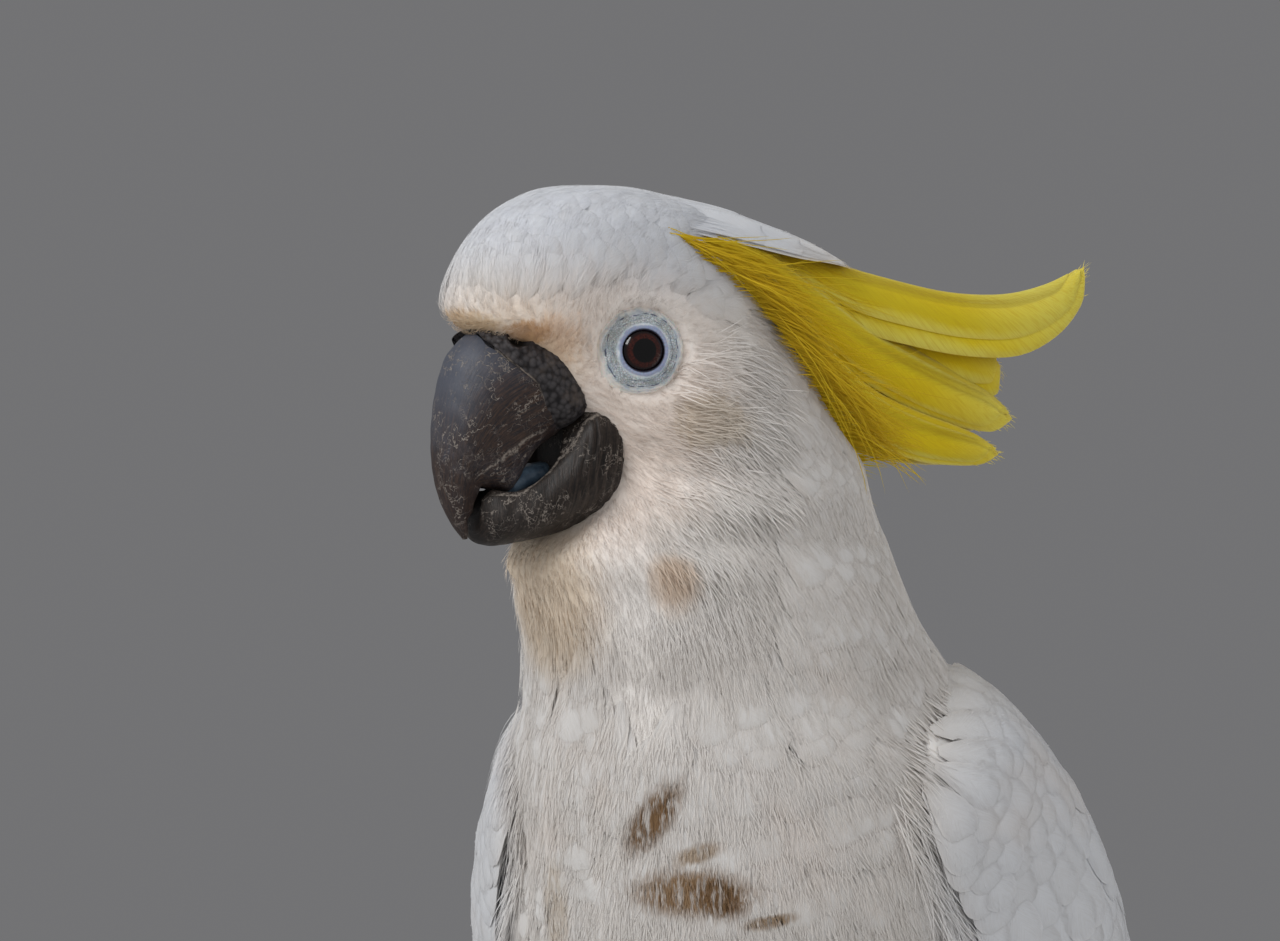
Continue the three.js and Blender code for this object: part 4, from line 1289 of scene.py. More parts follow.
class Coat:
    """The feathers of head, neck and body, over the form and the skin."""

    BILL_ROOT = (0, 22, -5)  # the feathers of the head point away from here
    BACKWARDS = unit(np.array([0.0, 0.54, -0.84]))
    TAILWARDS = unit(np.array([0.0, 0.905, -0.426]))
    WING_GAP = 0.009  # metres over the form within which a wing hides it

    def __init__(self, form: Surface) -> None:
        """Takes the outer form, and measures the bare pieces and the wings that lie over it."""
        self.form = form
        self.unwrap = Unwrap()
        self.bare = [solid(name) for name in ("bill_upper", "cere", "bill_lower")]
        parts = ("coverts", "secondaries", "primaries")
        self.wings = [solid(f"wing_{part}_{side.word}").tree for side in Side for part in parts]

    def spread(self, places: Array) -> Array:
        """Distance from the root of the bill, in millimetres."""
        return np.linalg.norm(places - AT.head(self.BILL_ROOT), axis=-1) / MM

    def depth(self, places: Array) -> Array:
        """Depth of the coat, in millimetres."""
        out = self.spread(places)
        full = 0.9 + 0.6 * ramp(out, 12, 34) + 2.5 * ramp(out, 76, 125)
        return np.where(out < 60, np.minimum(full, 0.7 + 1.5 * ramp(EYE.nearest(places), 9, 18)), full)

    def lie(self, places: Array, normals: Array) -> Array:
        """The way that feathers point.

        Args:
            places: Where they are rooted, in metres.
            normals: The surface's normals there.

        Returns:
            Unit vectors along the surface.
        """
        _, y, z = np.moveaxis(AT.in_bird(places), -1, 0)[..., None]
        head = AT.in_head(places)
        down = ramp(self.spread(places), 30, 85)[..., None]
        way = unit(places - AT.head(self.BILL_ROOT)) - UP * down * 0.85
        for side in Side:
            centre, gaze = EYE.axis(side)
            flat = (places - centre) - ((places - centre) @ gaze)[..., None] * gaze
            near = bell(EYE.seen(places, side)[0] - 9, 5) * (head[..., 0] * side.value > 8)
            way = way + unit(flat) * near[..., None] * 1.1
            ear = AT.head(EAR * np.array([side.value, 1, 1]))
            close = bell(np.linalg.norm(places - ear, axis=-1) / MM, 9)
            way = way + unit(np.cross(normals, places - ear)) * (close * 0.5 * -side.value)[..., None]
        fringe = (ramp(head[..., 2], 11, 6) * ramp(head[..., 1], 22, 29))[..., None]
        way = unit(way) * (1 - fringe) + (AT.forward * 0.45 - UP * 0.9) * fringe
        body = ramp(z, 277, 243)
        way = unit(way) * (1 - body) + self.BACKWARDS * body
        tail = ramp(y, 80, 120) * ramp(z, 140, 110)
        way = way * (1 - tail) + self.TAILWARDS * tail
        leg = ramp(z, 85, 60) * ramp(y, 75, 55)
        return square_to(normals, way * (1 - leg) + np.array([0, 0.1, -1.0]) * leg)

    def shown(self, places: Array, normals: Array) -> Array:
        """Whether a feather rooted there would show, and not grow out of a bare piece or under a wing."""
        keep = np.ones(len(places), bool)
        for surface in self.bare:
            keep &= ~surface.holds(places, normals)
        for side in Side:
            apart, along = EYE.seen(places, side)
            ragged = 0.7 * np.sin(places[:, 2] * 2300) * np.sin(places[:, 1] * 1900)
            keep &= ~((apart < EYE.ring - 1.4 + ragged) & (along > -2))
        for i in np.flatnonzero(keep):
            place, normal = places[i].tolist(), normals[i].tolist()
            keep[i] = all(wing.ray_cast(place, normal, self.WING_GAP)[0] is None for wing in self.wings)
        return keep

    def feathers(self, tract: Tract, material: Material) -> None:
        """Makes one tract of soft feathers that follow the form, each over the next.

        Args:
            tract: The tract.
            material: Its finish.
        """
        draw = np.random.default_rng(tract.seed)
        place, normal = self.form.snap(self.form.scatter(tract.seed, tract.gap, tract.wanted))
        keep = self.shown(place, normal)
        place, normal = place[keep], normal[keep]
        count = len(place)
        roots = self.unwrap.at(place, self.unwrap.field(place, normal))
        gap = tract.gap(place)
        length = gap * tract.length * draw.uniform(0.85, 1.15, count)
        breadth = gap * tract.breadth * draw.uniform(0.9, 1.1, count)
        yaw = np.radians(draw.normal(0, 5, count))[:, None]
        stops = tract.cut.stops
        found = []
        for step in np.diff(stops, append=1.0):
            way = self.lie(place, normal)
            way = way * np.cos(yaw) + np.cross(normal, way) * np.sin(yaw)
            found.append((place, normal, np.cross(way, normal)))
            if step:
                place, normal = self.form.snap(place + way * (length * step * MM)[:, None])
        centre, normal, side = (np.stack(x, 1) for x in zip(*found))
        half = (breadth[:, None] * tract.cut.widths / 2 * MM)[..., None]
        left, right = self.form.snap(np.stack([centre - side * half, centre + side * half]))[0]
        t = np.linspace(-1, 1, tract.cut.across)[None, None, :, None]
        left, middle, right = (x[:, :, None] for x in (left, centre, right))
        top = middle + (right - left) / 2 * t + ((right + left) / 2 - middle) * t**2
        rise = 1 - (1 - stops) ** 2.6
        sink = self.depth(centre) * (1 - rise) - tract.lift * stops**3
        tuck = 0.38 + 0.42 * ramp(stops, 0.7, 1.0)
        ends = t[..., 0] ** 2 * 0.6 + ramp(stops, 0.8, 1.0)[:, None] * 0.8
        sink = sink[:, :, None] + tuck[:, None] * ends
        sink = sink + draw.normal(0, 0.07, (count, 1, 1)) * stops[:, None]
        top = top - normal[:, :, None] * (sink * MM)[..., None]
        batch = Feathers(tract.cut, top, normal[:, :, None], length, roots, draw.uniform(0, 1, count))
        soup = Soup()
        batch.vanes(soup)
        batch.fringe(soup, draw, tract.barbs, tract.reach, 0.4, 0.11)
        seat(link(soup.mesh(tract.name), material), "plumage")


# ---------------------------------------------------------------- tufts, grown by nodes


@dataclass(frozen=True)
class TuftTract:
    """A stretch of skin or of feathered form, and the tufts that grow there."""

    KINDS: ClassVar[int] = 6
    name: str
    seed: int
    wanted: Choice
    spacing: float
    length: float
    rise: float
    size: Choice
    locks: int = 5
    half: float = 0.13
    stations: int = 4
    sink: float = 0.0  # how far under its base it is rooted
    hugs: bool = False  # whether its barbs keep close to the surface over hollows and humps

    def kinds(self) -> bpy.types.Collection:
        """Several tufts of a few barbs, rooted at the origin and pointing along +Y, in a set not shown."""
        draw = np.random.default_rng(self.seed)
        made = bpy.data.collections.new(f"{self.name}_tufts")
        spread = self.spacing * 0.6
        share = np.linspace(0, 1, self.stations)
        step = np.diff(share, prepend=0)
        for kind in range(self.KINDS):
            foot = draw.uniform(-spread, spread, (self.locks, 2))
            yaw = np.radians(draw.normal(0, 8, self.locks))
            curl = np.radians(draw.normal(0, 11, self.locks))
            reach = self.length * draw.uniform(0.75, 1.2, self.locks)
            turn = yaw[:, None] + curl[:, None] * share
            x = foot[:, :1] + np.cumsum(np.sin(turn) * step, 1) * reach[:, None]
            y = foot[:, 1:] + np.cumsum(np.cos(turn) * step, 1) * reach[:, None]
            high = self.rise * (1 - (1 - share) ** 1.8) * draw.uniform(0.7, 1.25, (self.locks, 1))
            soup = Soup()
            paths = np.stack([x, y, high - 0.15], -1) * MM
            soup.barbs(paths, np.tile(UP, (self.locks, 1)), self.half, np.zeros((self.locks, 2)), 0.0)
            points, faces, _, _, _, rims = soup.batches[0]
            mesh = plain_mesh(f"{self.name}_tuft_{kind}", points, faces)
            crease(mesh, rims)
            leaf = np.clip(points / (self.length * MM) - (0, 0.5, 0), -0.5, 0.5) * (PATCH, PATCH, 0)
            store(mesh, "leaf", "FLOAT_VECTOR", leaf)
            store(mesh, "stand", "FLOAT_VECTOR", points * (0, 100, 0) + (0.8, 0, 0))
            made.objects.link(bpy.data.objects.new(mesh.name, mesh))
        return made


class Growth(Sheet):
    """The Geometry Nodes that spread tufts over a bed, turned to its own `lie` and scaled by its `size`."""

    def __init__(self) -> None:
        """Writes the tree, with named inputs for its sizes."""
        super().__init__(bpy.data.node_groups.new("tufts", "GeometryNodeTree"))
        faces = self.tree.interface
        faces.new_socket("Geometry", in_out="OUTPUT", socket_type="NodeSocketGeometry")
        kinds = {"Bed": "Geometry", "Spacing": "Float", "Seed": "Int", "Tufts": "Collection"}
        self.sockets = {
            name: faces.new_socket(name, in_out="INPUT", socket_type=f"NodeSocket{kind}").identifier
            for name, kind in (kinds | {"Material": "Material"}).items()
        }
        start = self.node("NodeGroupInput")
        bed, spacing, seed, tufts, material = (Wire(self, start.outputs[name]) for name in self.sockets)
        bed = self.kept(bed, "root", "FLOAT_VECTOR", "CORNER", self.named("OFBake"))
        values = {"Mesh": bed, "Distance Min": spacing, "Density Max": 9e5, "Density Factor": 1, "Seed": seed}
        spread = self.node("GeometryNodeDistributePointsOnFaces", {"distribute_method": "POISSON"}, values)
        values = {"Vector": Wire(self, spread.outputs["Normal"])}
        upright = self.wire("FunctionNodeAlignRotationToVector", {"axis": "Z"}, values)
        values = {"Rotation": upright, "Vector": self.named("lie")}
        turned = self.wire("FunctionNodeAlignRotationToVector", {"axis": "Y", "pivot_axis": "Z"}, values)
        values = {"Collection": tufts, "Separate Children": True, "Reset Children": True}
        pick = {"Min": 0, "Max": TuftTract.KINDS - 1, "Seed": seed}
        values = {
            "Points": Wire(self, spread.outputs["Points"]),
            "Instance": self.wire("GeometryNodeCollectionInfo", None, values),
            "Pick Instance": True,
            "Instance Index": self.wire("FunctionNodeRandomValue", {"data_type": "INT"}, pick, 2),
            "Rotation": turned,
            "Scale": self.vector(*[self.named("size", "FLOAT") * self.chance(0.75, 1.2, 7)] * 3),
        }
        grown = self.wire("GeometryNodeInstanceOnPoints", None, values)
        grown = self.kept(grown, "tone", "FLOAT", "INSTANCE", self.chance(0.0, 1.0, 11))
        real = self.wire("GeometryNodeRealizeInstances", None, {0: grown})
        patch = self.sums("ADD", self.named("root"), self.named("leaf"))
        real = self.kept(real, "OFBake", "FLOAT2", "CORNER", patch)
        real = self.kept(real, "Vane", "FLOAT2", "CORNER", self.named("stand"))
        real = self.wire("GeometryNodeSetMaterial", None, {0: real, "Material": material})
        self.node("NodeGroupOutput", None, {0: real})

    def chance(self, low: float, high: float, seed: int) -> Wire:
        """A random number for each tuft."""
        values = {2: low, 3: high, "Seed": seed}
        return self.wire("FunctionNodeRandomValue", {"data_type": "FLOAT"}, values, 1)

    def named(self, name: str, kind: str = "FLOAT_VECTOR") -> Wire:
        """One of the mesh's own values."""
        return self.wire("GeometryNodeInputNamedAttribute", {"data_type": kind}, {"Name": name})

    def kept(self, mesh: Wire, name: str, kind: str, domain: str, value: Wire) -> Wire:
        """The mesh with one more value of its own."""
        values = {0: mesh, "Name": name, "Value": value}
        return self.wire("GeometryNodeStoreNamedAttribute", {"data_type": kind, "domain": domain}, values)

    def run(self, piece: Piece, **inputs: object) -> None:
        """Runs the tree on a piece and leaves a plain mesh."""
        grower = piece.modifiers.new("growth", "NODES")
        grower.node_group = self.tree
        for name, value in inputs.items():
            grower[self.sockets[name]] = value
        apply_modifiers(piece)


class Fluff:
    """Hair-like barbs, grown by nodes on the skin of the face or over the feathers of the body."""

    def __init__(self, coat: Coat, base: Surface) -> None:
        """Takes the coat, for the lie of its feathers, and the surface that the tufts grow on."""
        self.coat = coat
        self.base = base
        self.growth = Growth()

    def bed(self, tract: TuftTract) -> Piece:
        """The part of the skin that a tract grows on, with the lie and the size of its tufts."""
        surface, faces = self.base, self.base.faces
        points = surface.points - surface.normals * (tract.sink * MM)
        middles = points[faces].mean(1)
        near = np.flatnonzero(tract.wanted(middles))
        slopes = surface.normals[faces[near]].mean(1)
        kept = near[self.coat.shown(middles[near] + slopes * 0.9 * MM, slopes)]
        used, ends = np.unique(faces[kept], return_inverse=True)
        mesh = plain_mesh(tract.name, points[used], ends.reshape(-1, 3))
        store(mesh, "lie", "FLOAT_VECTOR", self.coat.lie(points[used], surface.normals[used]))
        store(mesh, "size", "FLOAT", tract.size(points[used]))
        store(mesh, "OFBake", "MAP", self.coat.unwrap.corners(points, faces[kept]))
        return link(mesh)

    def hug(self, mesh: bpy.types.Mesh, each: int) -> None:
        """Shifts barbs of so many points each, so that they keep to the surface all along."""
        points = points_of(mesh).reshape(-1, each, 3)
        for part, low, high in ((slice(1, each - 1), -0.12, 0.1), (slice(each - 1, each), -0.1, 0.2)):
            middle = points[:, part].mean(1)
            spot, normal = self.base.snap(middle)
            height = np.sum((middle - spot) * normal, -1) / MM
            points[:, part] += (normal * ((np.clip(height, low, high) - height) * MM)[:, None])[:, None]
        mesh.vertices.foreach_set("co", points.astype(np.float32).ravel())
        mesh.update()

    def grow(self, tract: TuftTract, material: Material) -> None:
        """Makes one tract of tufts as a plain mesh."""
        piece = self.bed(tract)
        tufts = tract.kinds()
        self.growth.run(piece, Spacing=tract.spacing * MM, Seed=tract.seed, Tufts=tufts, Material=material)
        if tract.hugs:
            self.hug(piece.data, 2 + 3 * (tract.stations - 2))
        values = piece.data.attributes
        for extra in {"root", "leaf", "stand", "lie", "size"} & set(values.keys()):
            values.remove(values[extra])
        seat(piece, "plumage")


class Plumage:
    """Lays the coat out: which feathers stand where, and how large."""

    def __init__(self, coat: Coat, skin: Surface) -> None:
        """Takes the coat and the skin."""
        self.coat = coat
        self.skin = skin

    def on_face(self, places: Array, inset: float = 0.0) -> Array:
        """Whether a place has the hair-like feathers of the face, or lies some way inside where they end."""
        left, forward, up = AT.in_head(places).T
        out = self.coat.spread(places)
        brow = 13.5 + 2.0 * np.sin(forward / 6) - inset
        waves = 3.5 * np.sin(left / 3.0) + 3 * np.sin(left / 7.3 + 1)
        reach = 60 + 24 * ramp(np.abs(left), 10, 22) + waves - inset
        return ((out < reach) & (up < brow) & (forward > -34 - up * 0.2 + inset)) | (out < 17)

    def vaned(self, low: float, high: float, front: bool | None = None, inset: float = 0.0) -> Choice:
        """The places between two levels that aren't on the face.

        Args:
            low: The lower level.
            high: The upper level.
            front: Whether they are in front, or None for both.
            inset: How far into the face they reach.

        Returns:
            The choice.
        """

        def wanted(places: Array) -> Array:
            """Whether each place is among them."""
            _, y, z = AT.in_bird(places).T
            level = (z >= low) & (z < high) & (front is None or (y < 12) == front)
            return level & ~self.on_face(places, inset)

        return wanted

    def gap(self, places: Array) -> Array:
        """How far apart the roots of vaned feathers are."""
        _, y, z = AT.in_bird(places).T
        grown = 3.3 + 0.5 * ramp(z, 318, 280) + 1.5 * ramp(z, 275, 225)
        return grown + 1.2 * ramp(y, 20, 70) * ramp(z, 250, 215) - 2.2 * ramp(z, 80, 40)

    def on_spine(self, places: Array) -> Array:
        """Whether a place is in the strip of long feathers that fills the gap between the folded wings."""
        x, y, z = AT.in_bird(places).T
        return (np.abs(x) < 15) & (y > 40) & (z > 110) & (z < 215)

    def on_ear(self, places: Array) -> Array:
        """Whether a place has the long loose tufts over the ears."""
        left, forward, up = AT.in_head(places).T
        return (np.hypot((forward + 17) / 13, (up + 11) / 15) < 1) & (np.abs(left) > 17)

    def on_hem(self, places: Array) -> Array:
        """Whether a place is on the lower end of a thigh."""
        _, y, z = AT.in_bird(places).T
        return (z < 37) & (y < 60)

    def on_side(self, side: Side) -> Choice:
        """The face's places on one side."""
        return lambda places: self.on_face(places) & (AT.in_head(places)[:, 0] * side.value >= 0)

    def beside_wing(self, side: Side) -> Choice:
        """The places along a wing's front edge, where long tufts close the gap behind it."""

        def wanted(places: Array) -> Array:
            """Whether each place is among them."""
            x, y, z = AT.in_bird(places).T
            inside = (z > 120) & (z < 246) & (x * side.value > 0) & (y < 20)
            for i in np.flatnonzero(inside):
                inside[i] = any(w.find_nearest(places[i].tolist())[3] < 0.008 for w in self.coat.wings)
            return inside

        return wanted

    def face_size(self, places: Array) -> Array:
        """Size of a tuft of the face: smallest by the bill and the eyes, longest on the cheeks."""
        out = self.coat.spread(places)
        _, forward, up = AT.in_head(places).T
        chin = (1 - 0.45 * ramp(up, -34, -42) * ramp(forward, -4, 8)) * (1 - 0.35 * ramp(out, 60, 82))
        near = 0.42 + 0.9 * ramp(EYE.nearest(places), 8, 26)
        return np.minimum(0.42 + 1.35 * ramp(out, 8, 75), near) * chin

    def film_size(self, places: Array) -> Array:
        """Size of a tuft that lies over vaned feathers."""
        high = AT.in_bird(places)[:, 2]
        return 0.62 + 0.38 * ramp(high, 330, 285) + 0.2 * ramp(high, 250, 200)

    def same(self, value: float) -> Choice:
        """One size for every place."""
        return lambda places: np.full(len(places), value)

    def feather_tracts(self) -> list[Tract]:
        """Every stretch of vaned feathers."""
        rows = (
            ("crown", 31, SMALL, self.vaned(312, 400), 4.0, 2.5, 6, 1.6),
            ("nape", 32, SMALL, self.vaned(268, 312), 4.2, 2.4, 8, 2.4),
            ("throat", 33, SOFT, self.vaned(236, 268), 4.0, 2.3, 10, 3.0),
            ("breast", 34, SOFT, self.vaned(150, 236, True), 4.0, 2.3, 12, 3.2),
            ("belly", 35, SOFT, self.vaned(0, 150, True), 3.8, 2.2, 12, 4.0),
            ("back", 36, SOFT, self.vaned(150, 236, False), 3.8, 2.3, 12, 3.4),
            ("rump", 37, SOFT, self.vaned(0, 150, False), 3.8, 2.2, 12, 4.4),
        )
        mantle = Tract("mantle", 38, SOFT, self.on_spine, 4.4, 2.6, 14, 4.0, self.same(4.4), 2.2)
        return [*(Tract(*row, self.gap) for row in rows), mantle]

    def face_tracts(self) -> list[TuftTract]:
        """The stretches of the face."""
        return [
            TuftTract("face_left", 41, self.on_side(Side.LEFT), 1.3, 6.6, 0.9, self.face_size),
            TuftTract("face_right", 42, self.on_side(Side.RIGHT), 1.3, 6.6, 0.9, self.face_size),
            TuftTract("ears", 54, self.on_ear, 2.3, 8.5, 2.3, self.same(1.0), 6, 0.15, 5),
        ]

    def film_tracts(self) -> list[TuftTract]:
        """The thin combed layer over the vaned feathers, and the longer tufts at hems and wings."""
        bands = (
            ("film_crown", 43, self.vaned(312, 400, None, 10.0), 1.6),
            ("film_neck", 44, self.vaned(252, 312, None, 12.0), 1.8),
            ("film_breast", 45, self.vaned(196, 252, True), 1.9),
            ("film_belly", 46, self.vaned(130, 196, True), 2.2),
            ("film_thighs", 47, self.vaned(0, 130), 3.0),
            ("film_back", 48, self.vaned(130, 252, False), 2.8),
        )
        made = [TuftTract(*band, 10, 0.3, self.film_size, 5, 0.08, 3, 0.12, True) for band in bands]
        made.append(TuftTract("hems", 53, self.on_hem, 1.9, 9, 0.7, self.same(1.0), 6, 0.13, 4, 0.2))
        for name, seed, side in (("flank_left", 49, Side.LEFT), ("flank_right", 50, Side.RIGHT)):
            wanted = self.beside_wing(side)
            made.append(TuftTract(name, seed, wanted, 1.9, 15, 2.6, self.same(1.0), 6, 0.14, 5, 0.3))
        return made

    def build(self, finish: Material) -> None:
        """Makes every stretch."""
        for tract in self.feather_tracts():
            self.coat.feathers(tract, finish)
        for base, tracts in ((self.skin, self.face_tracts()), (self.coat.form, self.film_tracts())):
            fluff = Fluff(self.coat, base)
            for tract in tracts:
                fluff.grow(tract, finish)


# ---------------------------------------------------------------- wings, tail and crest


@dataclass(frozen=True)
class Rank:
    """A rank of feathers on a web."""

    cut: Cut
    stations: tuple[float, ...]  # shares along the web where its roots stand
    across: tuple[float, float]  # shares across it that it fills
    length: tuple[float, float]  # at the upper edge and at the lower one, in millimetres
    breadth: float
    pitch: float  # millimetres between neighbours
    level: tuple[float, float]  # heights over the web at root and tip
    slant: tuple[float, float]  # degrees at the upper edge and at the lower one
    tilt: float  # height that the upper edge of each has over its lower edge
    barbs: int
    reach: float
    shaft: float = 0.0  # radius of a shaft that shows
    jitter: float = 0.18

    def tops(self, web: Web, draw: Draw, shares: Array, tangents: Array, normals: Array) -> Array:
        """The upper points of one row of feathers.

        Args:
            web: What they lie on.
            draw: Source of random numbers.
            shares: Where their shafts run on it, (feathers, stops, 2).
            tangents: Which way they run there.
            normals: Which way is up there.

        Returns:
            The points, (feathers, stops, across, 3), in the bird's frame.
        """
        stops, widths = self.cut.stops, self.cut.widths[:, None]
        k = np.linspace(-1, 1, self.cut.across) * web.sign
        half = self.breadth / 2 * draw.uniform(0.93, 1.07, len(shares))
        top = web.beside(shares, tangents, half[:, None, None] * widths * k)
        height = self.level[0] + (self.level[1] - self.level[0]) * (1 - (1 - stops) ** 2)
        height = (height - 0.3 * ramp(stops, 0.88, 1.0))[None, :, None] - self.tilt * k * widths
        height = height - 0.12 * (k * widths) ** 2 * self.breadth / 10
        height = height + draw.normal(0, self.jitter, (len(shares), 1, 1)) * stops[None, :, None]
        return top + normals[:, :, None] * height[..., None]

    def lay(self, soup: Soup, web: Web, draw: Draw, chart: Sequence[float]) -> None:
        """Lays the rank on a web.

        Args:
            soup: Where its feathers go.
            web: What they lie on.
            draw: Source of random numbers.
            chart: The field of the flat map (left, low, breadth, height) that their roots fall in.
        """
        low, high = self.across
        left, bottom, breadth, rise = chart
        for row, station in enumerate(self.stations):
            edge = np.linalg.norm(web.spot(station, low) - web.spot(station, high)) * 1.15
            count = max(round(edge / self.pitch), 1)
            share = (np.arange(count) + (0.95 if row % 2 else 0.5)) / count
            share = np.clip(share + draw.normal(0, 0.1, count) / count, 0.02, 0.98)
            s = station + draw.normal(0, self.jitter, count) * 0.012
            length = np.interp(share, (0, 1), self.length) * draw.uniform(0.93, 1.07, count)
            slant = np.interp(share, (0, 1), self.slant) + draw.normal(0, 1.5, count)
            tangents, normals, shares = web.walk(s, low + (high - low) * share, slant, length, self.cut.stops)
            top = AT.bird(self.tops(web, draw, shares, tangents, normals))
            roots = np.stack([left + breadth * shares[:, 0, 1], bottom + rise * shares[:, 0, 0]], -1)
            tone = draw.uniform(0, 1, count)
            batch = Feathers(self.cut, top, normals[:, :, None], length, roots, tone)
            batch.vanes(soup)
            batch.fringe(soup, draw, self.barbs, self.reach, 0.3, 0.1)
            if self.shaft:
                batch.shafts(soup, self.shaft, self.shaft * 0.3)


WING_ROWS = (
    (38, -20, 245, 48, -30, 235, 49, -40, 222), (41, 6, 250, 62, -12, 231, 55, -37, 206),
    (36, 32, 243, 74, 12, 208, 62, -22, 178), (24, 60, 219, 75.5, 37, 178, 62, -5, 145),
    (10, 86, 190, 70, 64, 148, 55, 22, 114), (3, 105, 161.5, 59, 91, 122, 47, 52, 89),
    (1.2, 122, 137.5, 47, 112, 104, 40, 78, 76), (1, 138, 115.5, 37, 132, 87, 33, 102, 66),
    (1, 156, 95.5, 28, 154, 76, 27, 132, 62), (1, 176, 77.5, 20, 175, 67, 22, 160, 60),
    (1.5, 198, 60.5, 15, 198, 55, 16, 188, 53), (4, 217, 48, 11, 218, 45.5, 12, 212, 44),
)
LONG_RANKS = (
    Rank(FLIGHT, (0.655, 0.70), (0.05, 0.97), (112, 96), 17, 9.5, (-2.2, -0.9), (0, 0), 0.35, 40, 2.2, 0.55),
    Rank(FLIGHT, (0.42, 0.47), (0.0, 0.97), (98, 80), 21, 10.5, (-1.8, -0.4), (0, 0), 0.35, 40, 2.4, 0.55),
)
SMALL_ROOTS = (0.10, 0.122, 0.146, 0.168, 0.19)
SMALLEST_ROOTS = (0.005, 0.02, 0.036, 0.054, 0.074, 0.092)
COVERT_RANKS = (
    Rank(BROAD, (0.36,), (0.02, 0.99), (50, 42), 17, 8.6, (-1.6, 0.0), (2, 0), 0.3, 34, 2.2),
    Rank(BROAD, (0.285, 0.325), (0, 0.99), (36, 30), 15.5, 8, (-1.5, 0.15), (2, 0), 0.25, 30, 2.0),
    Rank(SOFT, (0.205, 0.235, 0.262), (0, 0.99), (27, 24), 14, 7.4, (-1.4, 0.2), (2, 0), 0.2, 26, 1.8),
    Rank(SOFT, SMALL_ROOTS, (0, 0.99), (21, 19), 12, 6.6, (-1.3, 0.25), (2, 0), 0.15, 22, 1.7),
    Rank(SOFT, SMALLEST_ROOTS, (0, 0.99), (18, 16), 11, 6, (-1.2, 0.3), (2, 0), 0.1, 20, 1.6),
)


@dataclass
class Wing:
    """A folded wing: an under-sheet, the coverts over it and the long feathers behind them."""

    side: Side
    seed: int
    under: float = 2.6  # how far the closed under-sheet lies below the web's own level

    def under_sheet(self, web: Web) -> Shape:
        """A thin closed blade under the feathers, so that no gap shows through the wing."""
        s, t = np.meshgrid(np.linspace(0.0, 0.985, 90), np.linspace(0, 1, 26), indexing="ij")
        normal = web.slopes(s, t)[2]
        taper = np.clip(np.minimum(s, 1 - s) * 12, 0.25, 1)[..., None]
        edge = (0.35 + 0.65 * ramp(np.minimum(t, 1 - t), 0, 0.07))[..., None]
        top = web.spot(s, t) - normal * (self.under - 1.1 * (1 - taper)) * edge
        low = top - normal * (2.4 * taper * (1 - (2 * t[..., None] - 1) ** 2 * 0.85))
        return loft(AT.bird(np.concatenate([top, low[:, ::-1]], 1)))

    def build(self, satin: Material, flight: Material) -> None:
        """Makes the wing: one piece of coverts and one of flight feathers."""
        web = Web(WING_ROWS, self.side)
        draw = np.random.default_rng(self.seed)
        left = 0.03 if self.side is Side.LEFT else 0.53
        long, coverts = Soup(), Soup()
        for soup, ranks in ((long, LONG_RANKS), (coverts, COVERT_RANKS)):
            for rank in ranks:
                rank.lay(soup, web, draw, (left, 0.03, 0.44, 0.94))
        points, faces = self.under_sheet(web)
        coverts.add(points[None], faces, np.array([[left + 0.2, 0.015]]))
        word = self.side.word
        seat(link(coverts.mesh(f"coverts_{word}"), satin), "plumage", f"wing_coverts_{word}")
        nodes = (f"wing_secondaries_{word}", f"wing_primaries_{word}")
        seat(link(long.mesh(f"flight_{word}"), flight), "flight_feathers", *nodes)


@dataclass
class Tail:
    """Twelve tail feathers, the middle pair on top."""

    pairs: int = 6
    root: Spot = (0, 92, 93)
    tip: Spot = (0, 262, 13)
    spread: float = 29.0
    step: float = 0.55  # height between one feather and the next
    shorter: float = 2.4
    half: float = 11.0
    seed: int = 61

    def feather(self, soup: Soup, draw: Draw, rank: int, side: Side) -> None:
        """Adds one feather."""
        stops = TAIL.stops[:, None]
        run = np.array(self.tip) - self.root
        along = unit(run)
        up = np.cross(RIGHTWARDS, along)
        length = np.linalg.norm(run) - self.shorter * rank
        fan = (rank + 0.5) / self.pairs * self.spread * side.value
        level = -self.step * (2 * rank + (0.5 if side is Side.LEFT else 0.0))
        centre = self.root + along * (stops * length) + up * level
        centre = centre + RIGHTWARDS * (fan * (0.12 + 0.88 * stops))
        aside = (np.linspace(-1, 1, TAIL.across) * TAIL.widths[:, None])[..., None]
        top = centre[:, None] + RIGHTWARDS * (aside * self.half) + up * (-0.9 * aside**2)
        normals = np.broadcast_to(up, (1, len(stops), 1, 3))
        roots = np.array([[0.5 + 0.4 * fan / self.spread, 0.1 + 0.02 * rank]])
        batch = Feathers(TAIL, AT.bird(top)[None], normals, np.array([length]), roots, draw.uniform(0, 1, 1))
        batch.vanes(soup)
        batch.fringe(soup, draw, 110, 2.6, 0.25, 0.11)
        batch.shafts(soup, 0.75, 0.25)

    def build(self, finish: Material) -> None:
        """Makes the tail."""
        soup = Soup()
        draw = np.random.default_rng(self.seed)
        for rank in range(self.pairs):
            for side in Side:
                self.feather(soup, draw, rank, side)
        seat(link(soup.mesh("tail_feathers"), finish), "flight_feathers", "tail")


@dataclass(frozen=True)
class Plume:
    """One feather of the crest, folded over its shaft."""

    rows: Sequence[Sequence[float]]  # forward, up, sideways, half breadth and drop
    paired: bool = False

    def web(self, side: Side = Side.LEFT) -> Web:
        """Its surface, in the head's frame, from the left edge over the shaft to the right one."""
        forward, up, out, half, drop = np.array(self.rows, float).T
        if self.paired:
            edges = ((out - 2 * half, up + 0.6 * drop), (out, up), (out - half, up - 0.8 * drop))
        else:
            edges = ((half, up - drop), (out, up), (-half, up - drop))
        return Web(np.stack([part for x, z in edges for part in (x * side.value, forward, z)], 1))


